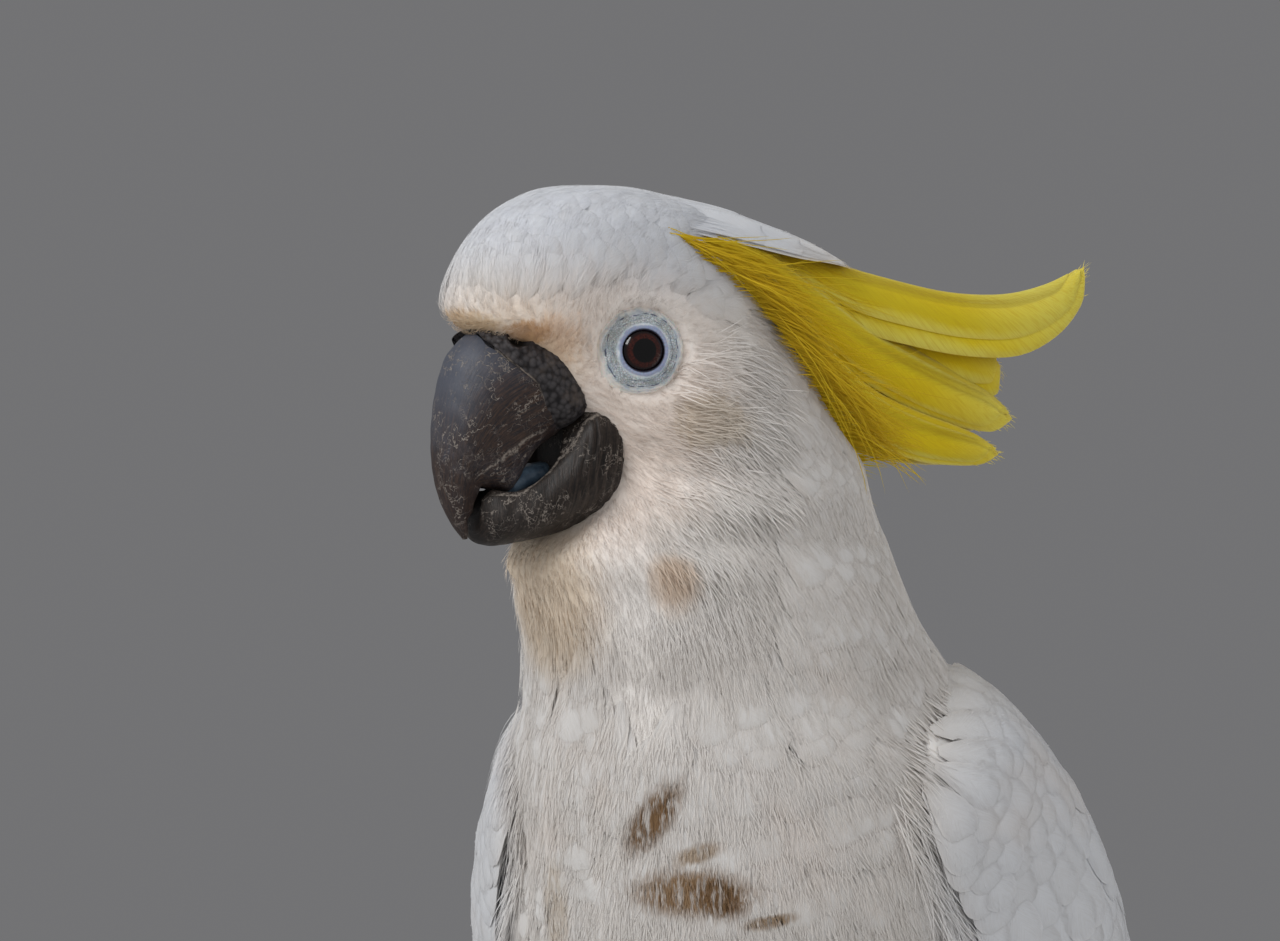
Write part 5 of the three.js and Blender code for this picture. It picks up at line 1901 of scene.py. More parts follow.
WHITE_PLUME = Plume(
    (
        (14, 36.4, 0, 8, 2), (0, 36.6, 0, 16, 6.4), (-14, 35.8, 0, 19.4, 8.4), (-28, 33.4, 0, 19.4, 8.8),
        (-42, 29.4, 0, 16.4, 7.4), (-52, 26, 0, 12, 5), (-59, 23, 0, 7.4, 2.8), (-64, 20.6, 0, 2.0, 1.0),
    )
)
YELLOW_PLUMES = (
    Plume(
        (
            (2, 33.0, 0, 10, 4), (-20, 32.0, 0, 13, 8), (-42, 27.0, 0, 12, 12), (-60, 20.6, 0, 10.5, 14.5),
            (-76, 16.6, 0, 9.5, 14.5), (-92, 13.6, 0, 8.5, 14), (-107, 13.2, 0, 7.5, 13.5),
            (-119, 15.6, 0, 5.5, 11), (-127, 19, 0, 3, 7), (-129.5, 20.6, 0, 0.9, 2),
        )
    ),
    Plume(
        (
            (-8, 31.6, 0, 2.5, 1), (-30, 28.4, 0, 6, 8), (-48, 24, 0, 6.6, 12), (-66, 13.6, 0, 6.4, 14.5),
            (-82, 6.6, 0, 5.6, 14.5), (-95, 2.6, 0, 4.6, 13), (-103, 0, 0, 3, 9.5), (-106.5, -3, 0, 0.9, 3),
        )
    ),
    Plume(
        (
            (0, 30.0, 17.4, 2.4, 2.4), (-16, 26.4, 19.4, 3.4, 6), (-32, 20.6, 19.0, 3.6, 8),
            (-48, 12, 14.6, 3.4, 9.5), (-64, 2.6, 10.8, 2.8, 10.5), (-80, -4.6, 8.4, 2.6, 10.5),
            (-94, -10, 6.6, 2.2, 8.6), (-102, -13, 5.8, 1.6, 6), (-106.5, -15, 5.4, 0.8, 2),
        ),
        True,
    ),
    Plume(
        (
            (-14, 25.4, 21.2, 1.8, 4), (-28, 17.6, 22.2, 2.4, 6), (-42, 6.6, 19.2, 2.6, 8),
            (-54, -4.4, 15, 2.6, 9), (-66, -12.6, 11.6, 2.4, 9), (-79, -17.6, 9.6, 2.2, 8.4),
            (-91, -20.4, 8.4, 1.8, 6.4), (-98, -22, 7.8, 1.2, 4), (-101.5, -23, 7.4, 0.8, 1.6),
        ),
        True,
    ),
)


@dataclass
class Crest:
    """The crest laid back: white feathers over layered yellow ones that curl up at their tips."""

    seed: int = 71
    stations: int = 40
    buried: float = 6.0  # how deep the blades start under the feathers of the head
    root_line: Sequence[Spot] = (
        (18.5, -1, 29.7), (21, -15.6, 20.8), (21.8, -27, 13.3), (21.2, -36.5, 1.9), (19, -45, -6.9),
        (15, -53, -17), (10.5, -60, -24.6),
    )

    def __post_init__(self) -> None:
        """Starts its random numbers."""
        self.draw = np.random.default_rng(self.seed)

    def outward_normals(self, web: Web, s: Array, t: Array, place: Array) -> Array:
        """A plume's normals, turned away from the middle of the head."""
        normal = web.slopes(s, t)[2]
        away = np.stack([place[..., 0], np.zeros_like(place[..., 0]), np.full_like(place[..., 0], 12.0)], -1)
        return normal * float(np.sign(np.sum(normal * away)))

    def blade(
        self, soup: Soup, web: Web, span: Sequence[float], end: float, lift: float, tone: float, barbs: int
    ) -> None:
        """Adds one feather that fills part of a plume's surface.

        Args:
            soup: Where it goes.
            web: The plume's surface.
            span: The shares across the surface that it fills.
            end: The share along the surface where it stops.
            lift: How far it lies outside, in millimetres.
            tone: Its tone.
            barbs: Barbs that soften its edges.
        """
        stops = 1 - (1 - np.linspace(0, 1, self.stations)) ** 1.15
        cut = Cut(stops, np.ones(self.stations), 13, 0.7, 0.2)
        s = (end * stops)[:, None]
        narrow = np.sqrt(np.clip((1 - stops) / 0.08, 0.0, 1.0)) * 0.94 + 0.06
        k = np.linspace(0, 1, cut.across)
        middle = span[0] + (span[1] - span[0]) * 0.5
        t = middle + (span[0] + (span[1] - span[0]) * k[None] - middle) * narrow[:, None]
        place = web.spot(s, t)
        normal = self.outward_normals(web, s, t, place)
        rise = lift * ramp(stops, 0, 0.25)[:, None] * (1 - 0.9 * np.abs(k - 0.5)[None] ** 1.5)
        rise = rise - self.buried * (1 - ramp(s, 0, 0.17))
        wave = 0.1 * np.sin(k[None] * 9 + stops[:, None] * 5 + tone * 20)
        place = place + normal * (rise + wave)[..., None]
        length = np.linalg.norm(np.diff(place[:, cut.across // 2], axis=0), axis=1).sum()
        roots = np.array([[0.5 + 0.35 * (middle - 0.5), 0.93 - 0.02 * lift]])
        top, normals = AT.head(place)[None], AT.head_way(normal)[None]
        batch = Feathers(cut, top, normals, np.array([length]), roots, np.array([tone]))
        batch.vanes(soup)
        batch.fringe(soup, self.draw, barbs, 2.6, 0.22, 0.09)

    def filaments(self, soup: Soup, side: Side, count: int) -> None:
        """Adds loose barbs along the line where the crest leaves the head."""
        draw, sign = self.draw, side.value
        at = draw.uniform(0, len(self.root_line) - 1.0, count)
        start = smooth_rows(self.root_line, at) * (sign, 1, 1)
        ahead = smooth_rows(self.root_line, at + 0.25) * (sign, 1, 1)
        start = start + draw.normal(0, 1.0, (count, 3)) * (0.5, 1, 1) - (1.4 * sign, 0, 0)
        hind = ramp(at, 3.2, 5.6)
        sweep = np.array([-0.1 * sign, -0.75, 0.1]) + hind[:, None] * np.array([0, -1.1, 0.35])
        way = unit(unit(ahead - start) * 1.3 + sweep + draw.normal(0, 0.09, (count, 3)))
        length = draw.uniform(14, 38, count) * (1 - 0.35 * hind)
        bend = [np.full(count, -0.16 * sign), draw.normal(0, 0.06, count), draw.normal(-0.04, 0.08, count)]
        share = np.linspace(0, 1, 7)[None, :, None]
        path = way[:, None] * share + np.stack(bend, -1)[:, None] * share**2
        path = start[:, None] + path * length[:, None, None]
        share = share[..., 0]
        path[..., 0] += sign * (4.0 * np.sin(share * math.pi * 0.8) - 1.0 * (1 - share) ** 3)
        up = np.tile(AT.left * sign, (count, 1))
        roots = np.tile([[0.5 + 0.2 * sign, 0.9]], (count, 1))
        soup.barbs(AT.head(path), up, 0.12, roots, draw.uniform(0, 0.5, count), 1.0)

    def strands(self, soup: Soup, web: Web, count: int) -> None:
        """Adds fine barbs that follow a plume's surface near its base and join its blades into one."""
        draw = self.draw
        t = draw.uniform(0.02, 0.98, count)
        start = draw.uniform(0.04, 0.30, count) ** 1.3
        share = np.linspace(0, 1, 6)[None]
        s = start[:, None] + draw.uniform(0.10, 0.26, count)[:, None] * share
        across = np.clip(t[:, None] + draw.normal(0, 0.05, count)[:, None] * share, 0.01, 0.99)
        place = web.spot(s, across)
        normal = self.outward_normals(web, s, across, place)
        high = draw.uniform(0.35, 1.1, count)[:, None] * np.sin(share * math.pi * 0.75 + 0.3)
        place = place + normal * (high - self.buried * (1 - ramp(s, 0, 0.17)))[..., None]
        roots = np.stack([0.5 + 0.35 * (t - 0.5), np.full(count, 0.92)], -1)
        ups = AT.head_way(normal[:, 3])
        soup.barbs(AT.head(place), ups, 0.13, roots, draw.uniform(0, 0.8, count), 3.2)

    def yellow(self, finish: Material) -> None:
        """Makes the layered yellow plumes, with loose barbs where they leave the head."""
        soup = Soup()
        for plume in YELLOW_PLUMES:
            for side in Side if plume.paired else (Side.LEFT,):
                web = plume.web(side)
                self.blade(soup, web, (0.0, 1.0), 0.995, -0.2, 0.2, 70)
                for k, span in enumerate(((0.0, 0.58), (0.42, 1.0), (0.08, 0.72), (0.28, 0.92))):
                    end = 0.975 - 0.03 * k - 0.02 * self.draw.random()
                    self.blade(soup, web, span, end, 0.22 + 0.2 * k, self.draw.random() * 0.8, 40)
                self.strands(soup, web, 260)
        for side in Side:
            self.filaments(soup, side, 420)
        pairs = [f"crest_{kind}_{side.word}" for kind in ("lower", "hind") for side in Side]
        seat(link(soup.mesh("crest_yellow"), finish), "crest", "crest_upper", "crest_middle", *pairs)

    def white(self, finish: Material) -> None:
        """Makes the white feathers over the yellow ones."""
        soup = Soup()
        web = WHITE_PLUME.web()
        self.blade(soup, web, (0.0, 1.0), 0.99, 0.0, 0.5, 160)
        for k in range(4):
            for span in ((0.02, 0.42), (0.58, 0.98), (0.28, 0.72)):
                end = 0.95 - 0.15 * k - 0.03 * self.draw.random()
                self.blade(soup, web, span, end, 0.2 + 0.16 * k, self.draw.random(), 90)
        self.strands(soup, web, 500)
        seat(link(soup.mesh("crest_cover"), finish), "crest", "crest_white")


# ---------------------------------------------------------------- eyes, bill and feet


def wrap(mesh: bpy.types.Mesh, faces: Array, rings: int, around: int) -> bpy.types.Mesh:
    """Gives a lofted mesh the map Round, which runs round it and along it."""
    faces = faces.ravel()
    along = np.concatenate([[0.0], np.repeat(np.linspace(0.02, 0.98, rings), around), [1.0]])
    turn = np.concatenate([[0.5], np.tile(np.arange(around) / around, rings), [0.5]])
    uv = np.stack([turn[faces], along[faces]], -1).reshape(-1, 3, 2)
    torn = (uv[..., 0].max(1) - uv[..., 0].min(1)) > 0.5
    uv[torn, :, 0] += (uv[torn][..., 0] < 0.5) * 1.0
    store(mesh, "Round", "MAP", uv)
    return mesh


def lofted(name: str, rings: Array, material: Material) -> Piece:
    """A piece through rings of points, with a map that runs round it and along it."""
    points, faces = loft(rings)
    return link(wrap(plain_mesh(name, points, faces), faces, *rings.shape[:2]), material)


@dataclass
class Eye:
    """One eye: the ball, and the bare wrinkled ring round it with its lid."""

    side: Side
    pupil: float = 2.7
    seed: int = 81

    def __post_init__(self) -> None:
        """Finds where it sits."""
        self.centre, self.gaze = EYE.axis(self.side)

    def turned(self, profile: Array, around: int, wobble: Callable | None = None) -> Array:
        """Rings of a shape turned about the gaze.

        Args:
            profile: (rings, 2) of distance from the gaze and height along it, in millimetres.
            around: Points in each ring.
            wobble: What is added to (distance, height) at each (ring, angle), in millimetres.

        Returns:
            The rings, in metres.
        """
        angle = circle(around)
        radius, height = (np.repeat(profile[:, i : i + 1], around, 1) for i in (0, 1))
        if wobble:
            more_radius, more_height = wobble(radius, angle[None])
            radius, height = radius + more_radius, height + more_height
        across = unit(np.cross(UP, self.gaze))
        out = across * np.cos(angle)[:, None] + np.cross(self.gaze, across) * np.sin(angle)[:, None]
        return self.centre + (out[None] * radius[..., None] + self.gaze * height[..., None]) * MM

    def apart(self, sheet: Paint) -> tuple[Wire, Wire]:
        """How far a point is from the gaze, in millimetres, and its way from the centre."""
        away = sheet.sums("SUBTRACT", sheet.place, tuple(self.centre))
        along = sheet.sums("DOT_PRODUCT", away, tuple(self.gaze), output="Value")
        far = sheet.length(away)
        return ((far * far - along * along).most(0.0) ** 0.5) * 1000, away

    def ball(self) -> None:
        """Makes the glossy ball: a red-brown iris, a black pupil and a dark rim."""
        angle = np.linspace(2, 178, 60) * math.pi / 180
        profile = np.stack([np.sin(angle), np.cos(angle)], -1) * EYE.ball
        profile[:, 1] += 0.35 * bell(profile[:, 0], 3.6) * (profile[:, 1] > 0) - 0.1
        piece = lofted(f"eyeball_{self.side.word}", self.turned(profile, 72), self.ball_finish())
        seat(piece, "eye", f"eye_{self.side.word}")

    def ball_finish(self) -> Material:
        """The ball's finish, by distance from the gaze."""
        sheet = Paint(f"eyeball_{self.side.word}")
        out, away = self.apart(sheet)
        fibres = sheet.noise(16, 3, 0.7, sheet.sums("NORMALIZE", away))
        clouds = sheet.noise(900, 2, 0.5)
        iris = sheet.mix(fibres.step(0.35, 0.65), (0.016, 0.0030, 0.0022), (0.062, 0.0105, 0.0058))
        iris = sheet.mix(clouds * 0.4, iris, (0.034, 0.0062, 0.0038))
        iris = sheet.mix((out + fibres * 0.4).step(3.75, 4.4), iris, (0.006, 0.003, 0.003))
        pupil = (out + fibres * 0.12).step(self.pupil + 0.22, self.pupil)
        colour = sheet.mix(pupil, iris, (0.0022, 0.0018, 0.0018))
        wet = {"Coat_Weight": 1.0, "Coat_Roughness": 0.02}
        return sheet.finish(colour, Roughness=0.2, Specular_IOR_Level=0.1, **wet)

    def ring(self) -> None:
        """Makes the bare ring, with a rolled lid at the opening and wrinkles that run round it."""
        draw = np.random.default_rng(self.seed)
        opening, edge = EYE.opening, EYE.ring
        keys = (
            (6.3, 1.5), (5.1, 4.3), (opening, 5.25), (opening + 0.02, 5.68), (opening + 0.35, 5.98),
            (opening + 0.85, 5.98), (opening + 1.25, 5.62), (7.0, 5.22), (8.4, 4.35), (9.6, 3.25),
            (edge, 2.3), (edge + 0.25, 1.2), (edge - 1.2, 0.2),
        )
        waves = [(draw.integers(2, 9), draw.uniform(0, 6.28), draw.uniform(0.1, 0.5)) for _ in range(7)]
        spots = draw.uniform(0, 6.28, 12)

        def wobble(radius: Array, angle: Array) -> tuple[Array, Array]:
            """Wrinkles round the ring, broken up along their run, and a slightly uneven outline."""
            out = ramp(radius, opening + 1.0, opening + 1.9) * ramp(radius, edge + 0.1, edge - 0.6)
            drift = sum(a * np.sin(n * angle + p) for n, p, a in waves)
            rings = np.abs(np.sin((radius + drift * 0.5) * 3.6)) ** 0.7 * 2 - 1.4
            rings = rings * (0.6 + 0.4 * np.sin(angle * 3 + spots[0] + radius))
            cross = np.sin(angle * 46 + 3 * np.sin(radius * 2 + spots[1]) + drift * 3) * 0.45
            height = out * (0.24 * rings + 0.07 * cross)
            lid = ramp(radius, opening + 1.4, opening + 0.5) * 0.05 * np.sin(angle * 38 + drift * 2)
            lobes = 0.22 * np.sin(2 * angle + 1.0) + 0.12 * np.sin(5 * angle + drift)
            slit = ramp(radius, opening + 2.2, opening) * 0.14 * np.cos(2 * angle)
            return ramp(radius, 8, edge) * lobes + slit, height + lid

        rings = self.turned(even_rows(keys, 96), 180, wobble)
        piece = lofted(f"bare_ring_{self.side.word}", rings, self.ring_finish())
        seat(piece, "ring_skin", f"eye_ring_{self.side.word}")

    def ring_finish(self) -> Material:
        """Pale blue-white skin, with a blue-violet lid and painted shade in its concentric creases."""
        sheet = Paint(f"ring_skin_{self.side.word}")
        out, _ = self.apart(sheet)
        clouds = sheet.noise(420, 3, 0.6)
        fine = sheet.noise(2600, 2, 0.6)
        drift = sheet.noise(170, 2, 0.5)
        colour = sheet.mix(clouds.step(0.35, 0.65), (0.50, 0.57, 0.64), (0.73, 0.78, 0.81))
        pebbles = sheet.cells(1900)
        zone = (out + (clouds - 0.5) * 0.9).step(6.0, 6.5) * (out + (drift - 0.5) * 4.0).step(9.2, 7.8)
        colour = sheet.mix(zone * pebbles.step(0.10, 0.02) * 0.65, colour, (0.16, 0.185, 0.19))
        olive = sheet.noise(260, 2, 0.5).step(0.48, 0.62)
        colour = sheet.mix(zone * olive * 0.3, colour, (0.33, 0.34, 0.27))
        # painted shade: broken dark lines at three radii stand for the shade in the ring's concentric creases
        for radius, strength in ((7.0, 0.5), (8.3, 0.95), (9.4, 0.6)):
            line = (out + (drift - 0.5) * 1.8 - radius).size().step(0.17, 0.05)
            broken = sheet.noise(300 + radius * 31, 1, 0.5).step(0.44, 0.54)
            colour = sheet.mix(line * broken * strength, colour, (0.075, 0.09, 0.17))
        lid = (out + (clouds - 0.5) * 0.7 + (drift - 0.5) * 1.4).step(6.1, 5.6)
        colour = sheet.mix(lid * 0.8, colour, (0.25, 0.295, 0.48))
        colour = sheet.mix(out.step(EYE.opening + 0.4, EYE.opening + 0.05), colour, (0.03, 0.03, 0.05))
        colour = sheet.mix((out + (clouds - 0.5) * 2.6).step(8.4, 10.0), colour, (0.82, 0.78, 0.73))
        relief = fine * 0.4 + pebbles.step(0.0, 0.2) * zone
        glow = {"Subsurface_Weight": 0.15, "Subsurface_Scale": 0.001}
        return sheet.finish(colour, relief, 0.12, Roughness=0.5, **glow)

    def build(self) -> None:
        """Makes the eye."""
        self.ball()
        self.ring()


@dataclass(frozen=True)
class Horn:
    """The finish of a mandible, and how far its grain runs round it instead of along it."""

    name: str
    # the bloom's colour, used also for the painted highlight on the ridge
    bloom: Colour = (0.082, 0.094, 0.125)
    deep: Colour = (0.022, 0.018, 0.021)
    brown: Colour = (0.068, 0.039, 0.027)
    flake: Colour = (0.30, 0.26, 0.225)
    hazy: float = 1.0
    wrinkled: float = 0.0
    edge_line: float = 0.375  # place of the wavy pale line, round from the top
    line_span: tuple[float, float] = (0.16, 0.62)

    def material(self) -> Material:
        """Dull black horn: a painted highlight in the bloom's colour along its upper ridge, bloom in patches,
        fibres along its growth, pale veins and a wavy line.
        """
        sheet = Paint(self.name)
        round_it, along, _ = sheet.map("Round")
        swirl = [(sheet.noise(190 + 40 * i, 3, 0.62) - 0.5) * 0.016 for i in range(3)]
        bent = sheet.sums("ADD", sheet.place, sheet.vector(*swirl))
        broad = sheet.noise(75, 4, 0.6)
        powder = sheet.noise(1500, 3, 0.7)
        fibres = sheet.noise(1.0, 3, 0.65, sheet.vector(round_it * 190, along * 13, 0))
        wrinkles = sheet.noise(1.0, 3, 0.6, sheet.vector(round_it * 14, along * 105 + broad * 5, 0))
        grain = fibres * (1 - self.wrinkled) + wrinkles * self.wrinkled
        veins = sheet.cells(82, bent).step(0.02, 0.005) * sheet.noise(120, 2, 0.5).step(0.43, 0.56)
        small = sheet.cells(210, bent).step(0.032, 0.008) * sheet.noise(150, 2, 0.5).step(0.47, 0.62)
        # painted highlight: the bloom's colour along the upper ridge, stronger higher up, where light from
        # above falls
        level = (sheet.parts(sheet.place)[2] - float(AT.head([0, 0, -12])[2])) * 1000
        ridge = (0.5 - (round_it - 0.5).size()).step(0.27, 0.05)
        ridge_highlight = ridge * (level + broad * 18).step(-6, 16) * self.hazy
        colour = sheet.mix((grain * 0.75 + powder * 0.25).step(0.4, 0.62), self.deep, self.brown)
        colour = sheet.mix(ridge_highlight * 0.85, colour, self.bloom)
        colour = sheet.mix((broad + powder * 0.3).step(0.6, 0.85) * 0.5, colour, self.bloom)
        edge = (round_it - 0.5).size() - (0.5 - self.edge_line) + (broad - 0.5) * 0.09
        first, last = self.line_span
        edge = edge.size().step(0.009, 0.002) * along.step(first, first + 0.05)
        edge = edge * along.step(last, last - 0.05) * powder.step(0.36, 0.56)
        lines = (veins * powder.step(0.28, 0.5) * 0.8).most(small * 0.55).most(edge * 0.8)
        colour = sheet.mix(lines, colour, self.flake)
        bleach = grain.step(0.58, 0.74) * powder.step(0.35, 0.6) * (0.18 + 0.5 * self.wrinkled)
        colour = sheet.mix(bleach, colour, (0.17, 0.16, 0.16))
        height = grain * 0.55 + powder * 0.15 - lines * 0.4 + broad * 0.3
        return sheet.finish(colour, height, 0.3, Roughness=broad.step(0.3, 0.7, 0.45, 0.66))


UPPER_HORN = Horn("upper_horn")
LOWER_HORN = Horn(
    "lower_horn",
    bloom=(0.042, 0.034, 0.031),
    deep=(0.009, 0.007, 0.006),
    brown=(0.036, 0.024, 0.018),
    hazy=0.0,
    wrinkled=0.75,
    edge_line=0.13,
    line_span=(0.2, 0.9),
)


class Bill:
    """The bill: both mandibles, the cere with its nostrils, and the tongue.

    Each has rows of (top forward, top up, bottom forward, bottom up, half breadth) in the head's frame.
    """

    UPPER = (
        (18, 5, 10, -14, 10.5), (26, 6.2, 15, -18.5, 11.8), (33.6, 5.2, 20.5, -21.8, 11.8),
        (38.8, 0.5, 26, -24.2, 11), (41.4, -7, 30.2, -25.6, 9.8), (42.7, -15, 33, -26.6, 8.4),
        (43, -22.5, 35, -28.4, 6.9), (42.4, -28.6, 36.2, -32, 5.4), (40.8, -34, 36.2, -36, 4),
        (38.6, -38.2, 35.8, -39.2, 2.6), (36.4, -41.4, 35.4, -41.2, 0.7),
    )
    LOWER = (
        (-1.5, -19, -1, -32, 9.5), (3.4, -10.8, 4.2, -37.2, 13.8), (9.9, -10.6, 12, -39.8, 15),
        (16, -19.6, 19, -41.4, 13.8), (21.4, -25.6, 25, -42.4, 12.2), (26.4, -28.6, 29.6, -42.9, 10.6),
        (31.2, -29.4, 32.6, -42, 8.6), (33.8, -30.8, 34, -39.4, 4.6),
    )
    MOUTH = (
        (13, -14, 13.5, -27, 7), (17, -17, 18.5, -30, 9.6), (22, -22, 23.5, -33, 9.2),
        (27, -26, 28, -35, 7.4), (32, -29, 32, -36, 5), (36, -30, 36, -35.4, 2.6),
    )
    CERE = (
        (13.5, 6.4, 6.5, -13, 11), (22, 7.8, 11, -15.6, 12.9), (29, 7.6, 14.8, -17.4, 13.4),
        (34.4, 5.8, 18.6, -18.4, 12.5),
    )
    TONGUE = (
        (16, -24, 16.4, -27.6, 3.8), (18, -24.2, 18.4, -29.6, 5), (22.6, -24.8, 22.8, -31.6, 5.2),
        (26, -26.8, 26, -32.4, 4), (27.8, -29, 27.8, -31, 1.2),
    )
    NOSTRILS = [(9.8 * side.value, 27.6, 4.0) for side in Side]
    NOSTRIL_RADIUS = 2.3

    def rings(self, rows: Sequence, steps: int, around: int, shape: Callable | None = None) -> Array:
        """Rings through rows.

        Args:
            rows: The rows.
            steps: How many rings.
            around: Points in each.
            shape: Turns (share along, angle) into how far points move out, as a share of the ring, and how
                full the ring is at its sides.

        Returns:
            The rings, in millimetres in the head's frame.
        """
        angle = circle(around)[None]
        more, full = shape(np.linspace(0, 1, steps)[:, None], angle) if shape else (0.0, 1.0)
        ahead, high, ahead_low, low, half = even_rows(rows, steps).T[..., None]
        left = half * (np.sign(np.sin(angle)) * np.abs(np.sin(angle)) ** full) * (1 + more)
        forward = (ahead + ahead_low) / 2 + (ahead - ahead_low) / 2 * np.cos(angle) * (1 + more)
        up = (high + low) / 2 + (high - low) / 2 * np.cos(angle) * (1 + more)
        return np.stack([left, forward, up], -1)

    def upper_shape(self, share: Array, angle: Array) -> tuple[Array, Array]:
        """A ridged hook with growth lines, a ledge near its tip, plate edges and a wavy cutting edge."""
        under = np.clip(-np.cos(angle), 0, 1)
        side = np.abs(np.sin(angle)) ** 4
        growth = 0.006 * np.sin(share * 95 + 2.2 * np.sin(angle * 2)) * ramp(share, 0.15, 0.35)
        ledge = -0.045 * ramp(share, 0.795, 0.815) * ramp(share, 0.93, 0.84) * (0.4 + 0.6 * side)
        plates = 0.004 * np.sin(share * 41 + angle * 5) * np.sin(angle * 9 - share * 17)
        boss = 0.62 * under**5 * ramp(share, 0.15, 0.42) * ramp(share, 0.86, 0.75)
        notch = -0.10 * under * bell(share - 0.60, 0.035)
        return growth + ledge + plates + boss + notch, 0.86 + 0.1 * ramp(share, 0.5, 0.95)

    def lower_shape(self, share: Array, angle: Array) -> tuple[Array, Array]:
        """A deep scoop with upright wrinkles at its rear, growth lines, a rolled rim and a full gape."""
        top = np.clip(np.cos(angle), 0, 1)
        side = np.abs(np.sin(angle)) ** 2
        folds = np.abs(np.sin(share * 66 + 0.9 * np.sin(angle * 3) + 0.5 * np.sin(angle * 7 + share * 20)))
        ribs = 0.046 * (folds**0.6 - 0.6) * (0.3 + 0.7 * side) * ramp(share, 0.46, 0.24)
        growth = 0.006 * np.sin(share * 60 + 3 * np.cos(angle * 2)) * ramp(share, 0.4, 0.6)
        rim = 0.035 * bell(top - 0.62, 0.13) * ramp(share, 0.2, 0.35)
        gape = 0.15 * bell(from_top(angle) - 0.95, 0.42) * ramp(share, 0.5, 0.24)
        return ribs + growth + rim + gape, 0.92

    def cere_shape(self, share: Array, angle: Array) -> tuple[Array, Array]:
        """A fuller lower edge that meets the skin of the gape."""
        return 0.14 * bell(from_top(angle) - 2.25, 0.42) * ramp(share, 1.0, 0.55), 0.9

    def tongue_shape(self, share: Array, angle: Array) -> tuple[Array, Array]:
        """A groove along its top."""
        groove = -0.2 * bell(from_top(angle), 0.35) * ramp(share, 0.3, 0.7)
        return groove + 0.02 * np.sin(share * 40 + 3 * angle), 1.0

    def lower(self) -> None:
        """Makes the lower mandible, hollowed out over the tongue."""
        rings = self.rings(self.LOWER, 120, 112, self.lower_shape)
        piece = lofted("lower_mandible", AT.head(rings), LOWER_HORN.material())
        hole = link(plain_mesh("mouth", *loft(AT.head(self.rings(self.MOUTH, 50, 64)))))
        cut = piece.modifiers.new("mouth", "BOOLEAN")
        cut.operation = "DIFFERENCE"
        cut.solver = "EXACT"
        cut.object = hole
        apply_modifiers(piece)
        bpy.data.objects.remove(hole)
        piece.data.shade_smooth()
        seat(piece, "bill", "bill_lower")

    def cere(self) -> None:
        """Makes the cere: pebbled bare skin over the bill's root, with a nostril each side."""
        rows, around = 90, 128
        rings = self.rings(self.CERE, rows, around, self.cere_shape)
        bearings, reaches = (0, 35, 62, 90, 130, 180), (0.2, 2.4, 0.8, -2.6, -1.0, 0)
        reach = np.interp(from_top(circle(around)), np.radians(bearings), reaches)
        rings[..., 1] += reach[None] * ramp(np.linspace(0, 1, rows), 0.35, 1.0)[:, None]
        skin = Surface(*loft(AT.head(rings)))
        points = skin.points
        bumps, depth = np.zeros(len(points)), np.zeros(len(points))
        pebbles = skin.scatter(92, lambda p: np.full(len(p), 1.25), lambda p: np.ones(len(p), bool))
        for pebble, size in zip(pebbles, np.random.default_rng(91).uniform(0.45, 0.8, len(pebbles))):
            gap = np.linalg.norm(points - pebble, axis=1) / MM / size
            bumps = np.maximum(bumps, np.clip(1 - gap**2, 0, 1) * size * 0.42)
        radius = self.NOSTRIL_RADIUS
        for nostril in self.NOSTRILS:
            gap = np.linalg.norm(points - AT.head(nostril), axis=1) / MM
            depth = np.maximum(depth, 1.3 * ramp(gap, radius + 0.5, radius * 0.45))
            bumps = bumps * ramp(gap, radius * 0.6, radius + 0.9) + 0.4 * bell(gap - radius - 0.9, 0.6)
        along = (np.arange(len(points)) - 1) // around / (rows - 1)
        bumps = bumps * ramp(along, 0.99, 0.93)
        points = points + skin.normals * ((bumps - depth - 0.15) * MM)[:, None]
        mesh = wrap(plain_mesh("cere_skin", points, skin.faces), skin.faces, rows, around)
        seat(link(mesh, self.cere_finish()), "cere_skin", "cere")

    def cere_finish(self) -> Material:
        """Pebbled, nearly black bare skin, greyer on the pebbles, with a pale line at the bill's root."""
        sheet = Paint("cere_skin")
        broad = sheet.noise(150, 3, 0.6)
        pebbles = sheet.cells(760, feature="F1")
        colour = sheet.mix(pebbles.step(0.9, 0.2), (0.012, 0.010, 0.011), (0.060, 0.055, 0.058))
        colour = sheet.mix(broad.step(0.5, 0.7) * 0.6, colour, (0.11, 0.085, 0.07))
        for nostril in self.NOSTRILS:
            gap = sheet.length(sheet.sums("SUBTRACT", sheet.place, tuple(AT.head(nostril).tolist()))) * 1000
            hole = gap.step(self.NOSTRIL_RADIUS + 0.5, self.NOSTRIL_RADIUS - 0.5)
            colour = sheet.mix(hole, colour, (0.002, 0.002, 0.002))
        round_it, along, _ = sheet.map("Round")
        low = (0.5 - (round_it - 0.5).size()).step(0.12, 0.2)
        edge = (along + (broad - 0.5) * 0.05).step(0.955, 0.985) * low
        colour = sheet.mix(edge * broad.step(0.35, 0.55) * 0.8, colour, (0.30, 0.25, 0.21))
        return sheet.finish(colour, pebbles, -0.25, Roughness=0.6, Specular_IOR_Level=0.4)

    def tongue_finish(self) -> Material:
        """Moist dark skin, tinted blue-grey as a painted reflection."""
        sheet = Paint("tongue_skin")
        broad = sheet.noise(330, 3, 0.6)
        fine = sheet.noise(2200, 2, 0.6)
        # painted reflection: the blue-grey stands for the light that the moist tongue reflects
        colour = sheet.mix(broad.step(0.3, 0.7), (0.045, 0.075, 0.115), (0.11, 0.165, 0.225))
        return sheet.finish(colour, fine, 0.08, Roughness=0.34, Coat_Weight=0.4)

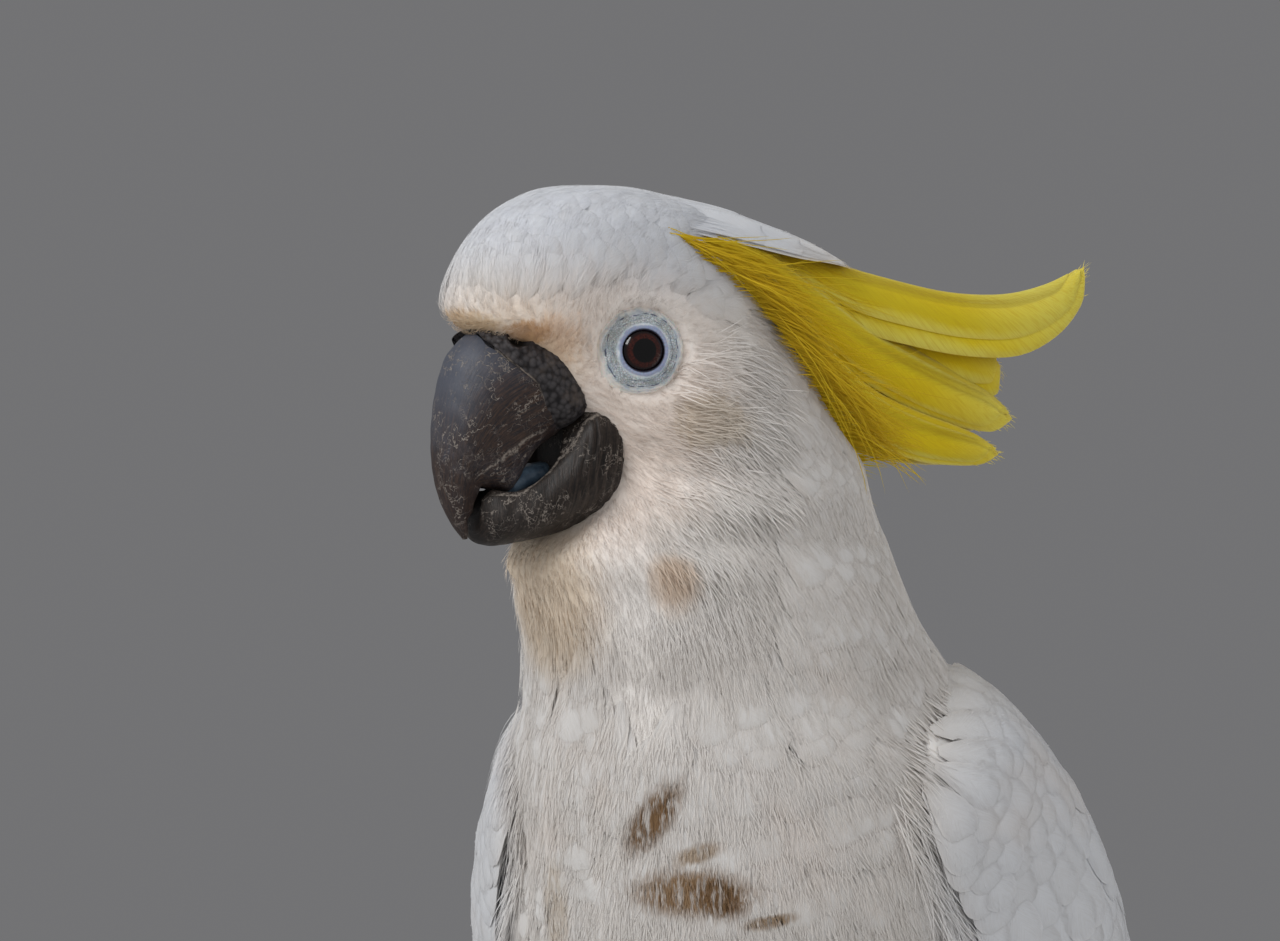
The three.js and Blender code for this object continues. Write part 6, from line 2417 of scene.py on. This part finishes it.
    def build(self) -> None:
        """Makes every part of the bill."""
        rings = self.rings(self.UPPER, 150, 112, self.upper_shape)
        seat(lofted("upper_mandible", AT.head(rings), UPPER_HORN.material()), "bill", "bill_upper")
        self.lower()
        self.cere()
        rings = self.rings(self.TONGUE, 46, 56, self.tongue_shape)
        seat(lofted("tongue_tip", AT.head(rings), self.tongue_finish()), "tongue", "tongue")


@dataclass
class Foot:
    """A foot with two toes to the front and two behind: shank, four scaled toes and their claws."""

    side: Side
    at: tuple[float, float] = (29.0, -6.0)
    hub: float = 8.5
    toes: Sequence[tuple[str, float, float]] = (  # name, heading from straight ahead, outwards, and length
        ("inner_front", -12, 26), ("outer_front", 14, 35), ("outer_hind", 152, 31), ("inner_hind", 200, 20),
    )
    shank: Sequence[Sequence[float]] = (
        (29, 27, 38, 5.6), (29, 21, 26, 4.9), (29, 13, 16, 4.9), (29, 6, 8.5, 5.4),
    )

    def toe_line(self, heading: float, keys: Sequence[Sequence[float]]) -> list[Sequence[float]]:
        """Keys of (reach, up, radius) along a toe as places in the bird's frame."""
        turn = math.radians(heading)
        across, ahead = math.sin(turn), -math.cos(turn)
        x, y = self.at
        return [((x + r * across) * self.side.value, -y + r * ahead, up, radius) for r, up, radius in keys]

    def limbs(self) -> list[Sequence[Sequence[float]]]:
        """Keys of the toes, with pads under their joints, and of the shank."""
        made = []
        for _, heading, n in self.toes:
            keys = (0, self.hub, 4.6), (n / 4, 5.6, 4), (n / 2, 3.9, 4.1), (0.75 * n, 3.9, 3.6), (n, 3.8, 3.9)
            made.append(self.toe_line(heading, (*keys, (n + 2, 3.9, 2))))
        return [*made, [(x * self.side.value, y, z, r) for x, y, z, r in self.shank]]

    def run_along(self, points: Array) -> Array:
        """How far along its nearest limb each point lies, in millimetres."""
        run, near = np.zeros(len(points)), np.full(len(points), 1e9)
        bird = AT.in_bird(points)
        for keys in self.limbs():
            line = even_rows(keys, 160)
            gaps = np.linalg.norm(bird[:, None] - line[None, :, :3], axis=2) / line[None, :, 3]
            best, gap = gaps.argmin(1), gaps.min(1)
            steps = np.linalg.norm(np.diff(line[:, :3], axis=0), axis=1)
            length = np.concatenate([[0], np.cumsum(steps)])
            run = np.where(gap < near, length[best], run)
            near = np.minimum(gap, near)
        return run

    def skin(self, finish: Material) -> None:
        """Makes the shank and toes as one skin, ringed with scutes and padded underneath."""
        skin = joined_skin([loft(AT.bird(limb_rings(keys, 40, 36))) for keys in self.limbs()], 0.62, 2)
        points = skin.points
        above = ramp(skin.normals[:, 2], -0.1, 0.35)
        scutes = 0.34 * (np.abs(np.sin(self.run_along(points) * math.pi / 2.5)) ** 0.45 - 0.75)
        cells = np.sin(points @ np.array([2900.0, 900, 400])) * np.sin(points @ np.array([-700.0, 2700, 900]))
        below = 0.13 * cells * np.sin(points @ np.array([300.0, -500, 2500]))
        points = points + skin.normals * ((scutes * above + below * (1 - above)) * MM)[:, None]
        points[:, 2] = np.maximum(points[:, 2], AT.bird([0, 0, 0.0])[2])
        piece = link(plain_mesh(f"foot_skin_{self.side.word}", points, skin.faces), finish)
        seat(piece, "foot_skin", f"foot_{self.side.word}")

    def claws(self, finish: Material) -> None:
        """Makes the four curved claws."""
        soup = Soup()
        for number, (_, heading, n) in enumerate(self.toes):
            keys = (n - 1, 4.6, 1.9), (n + 4.2, 6.2, 2), (n + 9, 4.6, 1.3), (n + 12, 0.75, 0.4)
            points, faces = loft(AT.bird(limb_rings(self.toe_line(heading, keys), 40, 32)))
            soup.add(points[None], faces, np.array([[0.2 + 0.2 * number, 0.5]]))
        names = [f"claw_{name}_{self.side.word}" for name, _, _ in self.toes]
        seat(link(soup.mesh(f"claws_{self.side.word}"), finish), "claw", *names)

    def build(self) -> None:
        """Makes the foot."""
        self.skin(foot_finish())
        self.claws(claw_finish())


def foot_finish() -> Material:
    """Dark grey scaled skin with a mealy bloom between the scales."""
    sheet = Paint("foot_skin")
    broad = sheet.noise(120, 3, 0.6)
    scales = sheet.cells(640)
    colour = sheet.mix(broad.step(0.35, 0.7), (0.055, 0.055, 0.06), (0.105, 0.105, 0.11))
    colour = sheet.mix(scales.step(0.09, 0.02) * 0.6, colour, (0.22, 0.215, 0.205))
    return sheet.finish(colour, scales.step(0.0, 0.25), 0.16, Roughness=0.62)


def claw_finish() -> Material:
    """Dark claws, greyer in patches."""
    sheet = Paint("claw_horn")
    broad = sheet.noise(260, 3, 0.6)
    colour = sheet.mix(broad.step(0.4, 0.7), (0.022, 0.020, 0.020), (0.075, 0.068, 0.062))
    return sheet.finish(colour, broad, 0.15, Roughness=0.38)


# ---------------------------------------------------------------- the studio


@dataclass
class Studio:
    """A pale round floor, soft lamps and the camera."""

    turn: float = 20.0  # degrees that the camera stands round to the bird's right
    drop: float = 1.0
    aim: tuple[float, float] = (-31.6, 294.2)  # to the camera's right of the bird's own axis, and up
    distance: float = 2200.0  # from the head, in millimetres
    lens: float = 272.5
    backdrop: Colour = (0.17, 0.17, 0.175)
    sky: float = 0.38
    floor_radius: float = 0.75

    def placed(self, name: str, data: bpy.types.ID) -> Piece:
        """A camera or a lamp in the scene."""
        made = bpy.data.objects.new(name, data)
        bpy.context.scene.collection.objects.link(made)
        return made

    def camera(self) -> None:
        """A long lens, level with the head."""
        turn, drop = math.radians(self.turn), math.radians(self.drop)
        right = np.array([math.cos(turn), math.sin(turn), 0])
        ahead = np.array([-math.sin(turn) * math.cos(drop), math.cos(turn) * math.cos(drop), -math.sin(drop)])
        aim = right * self.aim[0] + UP * self.aim[1]
        aim = aim + ahead * ((np.array(Bearings.HEAD_AT) - aim) @ ahead)
        data = bpy.data.cameras.new("camera")
        data.lens = self.lens
        data.clip_end = 20
        made = self.placed("camera", data)
        place = AT.bird(aim - ahead * self.distance)
        axes = np.array([right, np.cross(-ahead, right), -ahead]).T
        made.matrix_world = Matrix([(*row, at) for row, at in zip(axes, place)] + [(0, 0, 0, 1)])
        bpy.context.scene.camera = made

    def lamp(self, name: str, at: Spot, watts: float, breadth: float, mirrored: bool) -> None:
        """A soft square lamp that faces the bird's breast."""
        data = bpy.data.lights.new(name, "AREA")
        data.energy = watts
        data.size = breadth
        made = self.placed(name, data)
        made.location = at
        made.rotation_euler = (Vector((0, -0.06, 0.27)) - made.location).to_track_quat("-Z", "Y").to_euler()
        made.visible_glossy = mirrored

    def world(self) -> None:
        """Even light all round, and a plain grey backdrop for the eye of the camera."""
        world = bpy.data.worlds.new("studio")
        bpy.context.scene.world = world
        world.use_nodes = True
        sheet = Sheet(world.node_tree)
        ray = sheet.node("ShaderNodeLightPath")
        kinds = ("Is Camera Ray", "Is Transmission Ray", "Is Glossy Ray")
        direct, through, mirrored = (Wire(sheet, ray.outputs[kind]) for kind in kinds)
        light = sheet.wire("ShaderNodeBackground", None, {"Color": (1, 1, 1, 1), "Strength": self.sky})
        shown = sheet.wire("ShaderNodeBackground", None, {"Color": (*self.backdrop, 1), "Strength": 1.0})
        values = {0: direct.most(through).most(mirrored), 1: light, 2: shown}
        both = sheet.wire("ShaderNodeMixShader", None, values)
        sheet.node("ShaderNodeOutputWorld", None, {"Surface": both})

    def floor(self) -> None:
        """A pale round floor."""
        count = 96
        angle = circle(count)
        ring = np.stack([np.cos(angle), np.sin(angle), angle * 0], -1) * self.floor_radius
        faces = np.array([(0, 1 + i, 1 + (i + 1) % count) for i in range(count)])
        sheet = Paint("floor_paint")
        paint = sheet.mix(sheet.noise(40, 4, 0.6), (0.70, 0.69, 0.67), (0.74, 0.73, 0.71))
        mesh = plain_mesh("floor", np.concatenate([np.zeros((1, 3)), ring]), faces)
        floor = link(mesh, sheet.finish(paint, Roughness=0.8))
        floor.visible_glossy = False

    def build(self) -> None:
        """Sets everything up."""
        bpy.context.scene.view_settings.view_transform = "Standard"
        self.camera()
        self.world()
        self.floor()
        self.lamp("key", (-0.75, -1.15, 1.25), 15, 0.8, True)
        self.lamp("fill", (1.2, -0.6, 0.6), 3.5, 1.0, False)


def main() -> None:
    """Builds the cockatoo and its studio."""
    logging.basicConfig(level=logging.INFO, format="%(message)s")
    body = Body()
    coat = Coat(body.form())
    skin = body.skin(coat)
    white = Vaned("plumage", 1.2).material()
    Plumage(coat, skin).build(white)
    satin = Vaned("satin", 1.6, 0.04, 0.5, 0.05).material()
    flight = Vaned("flight", 2.0, 0.06, 0.5, 0.05).material()
    for side, seed in ((Side.LEFT, 51), (Side.RIGHT, 52)):
        Wing(side, seed).build(satin, flight)
    Tail().build(flight)
    crest = Crest()
    crest.yellow(Yellow("yellow_vanes", 2.4).material())
    crest.white(white)
    for side in Side:
        Eye(side).build()
    Bill().build()
    for side in Side:
        Foot(side).build()
    Studio().build()


if __name__ == "__main__":
    main()
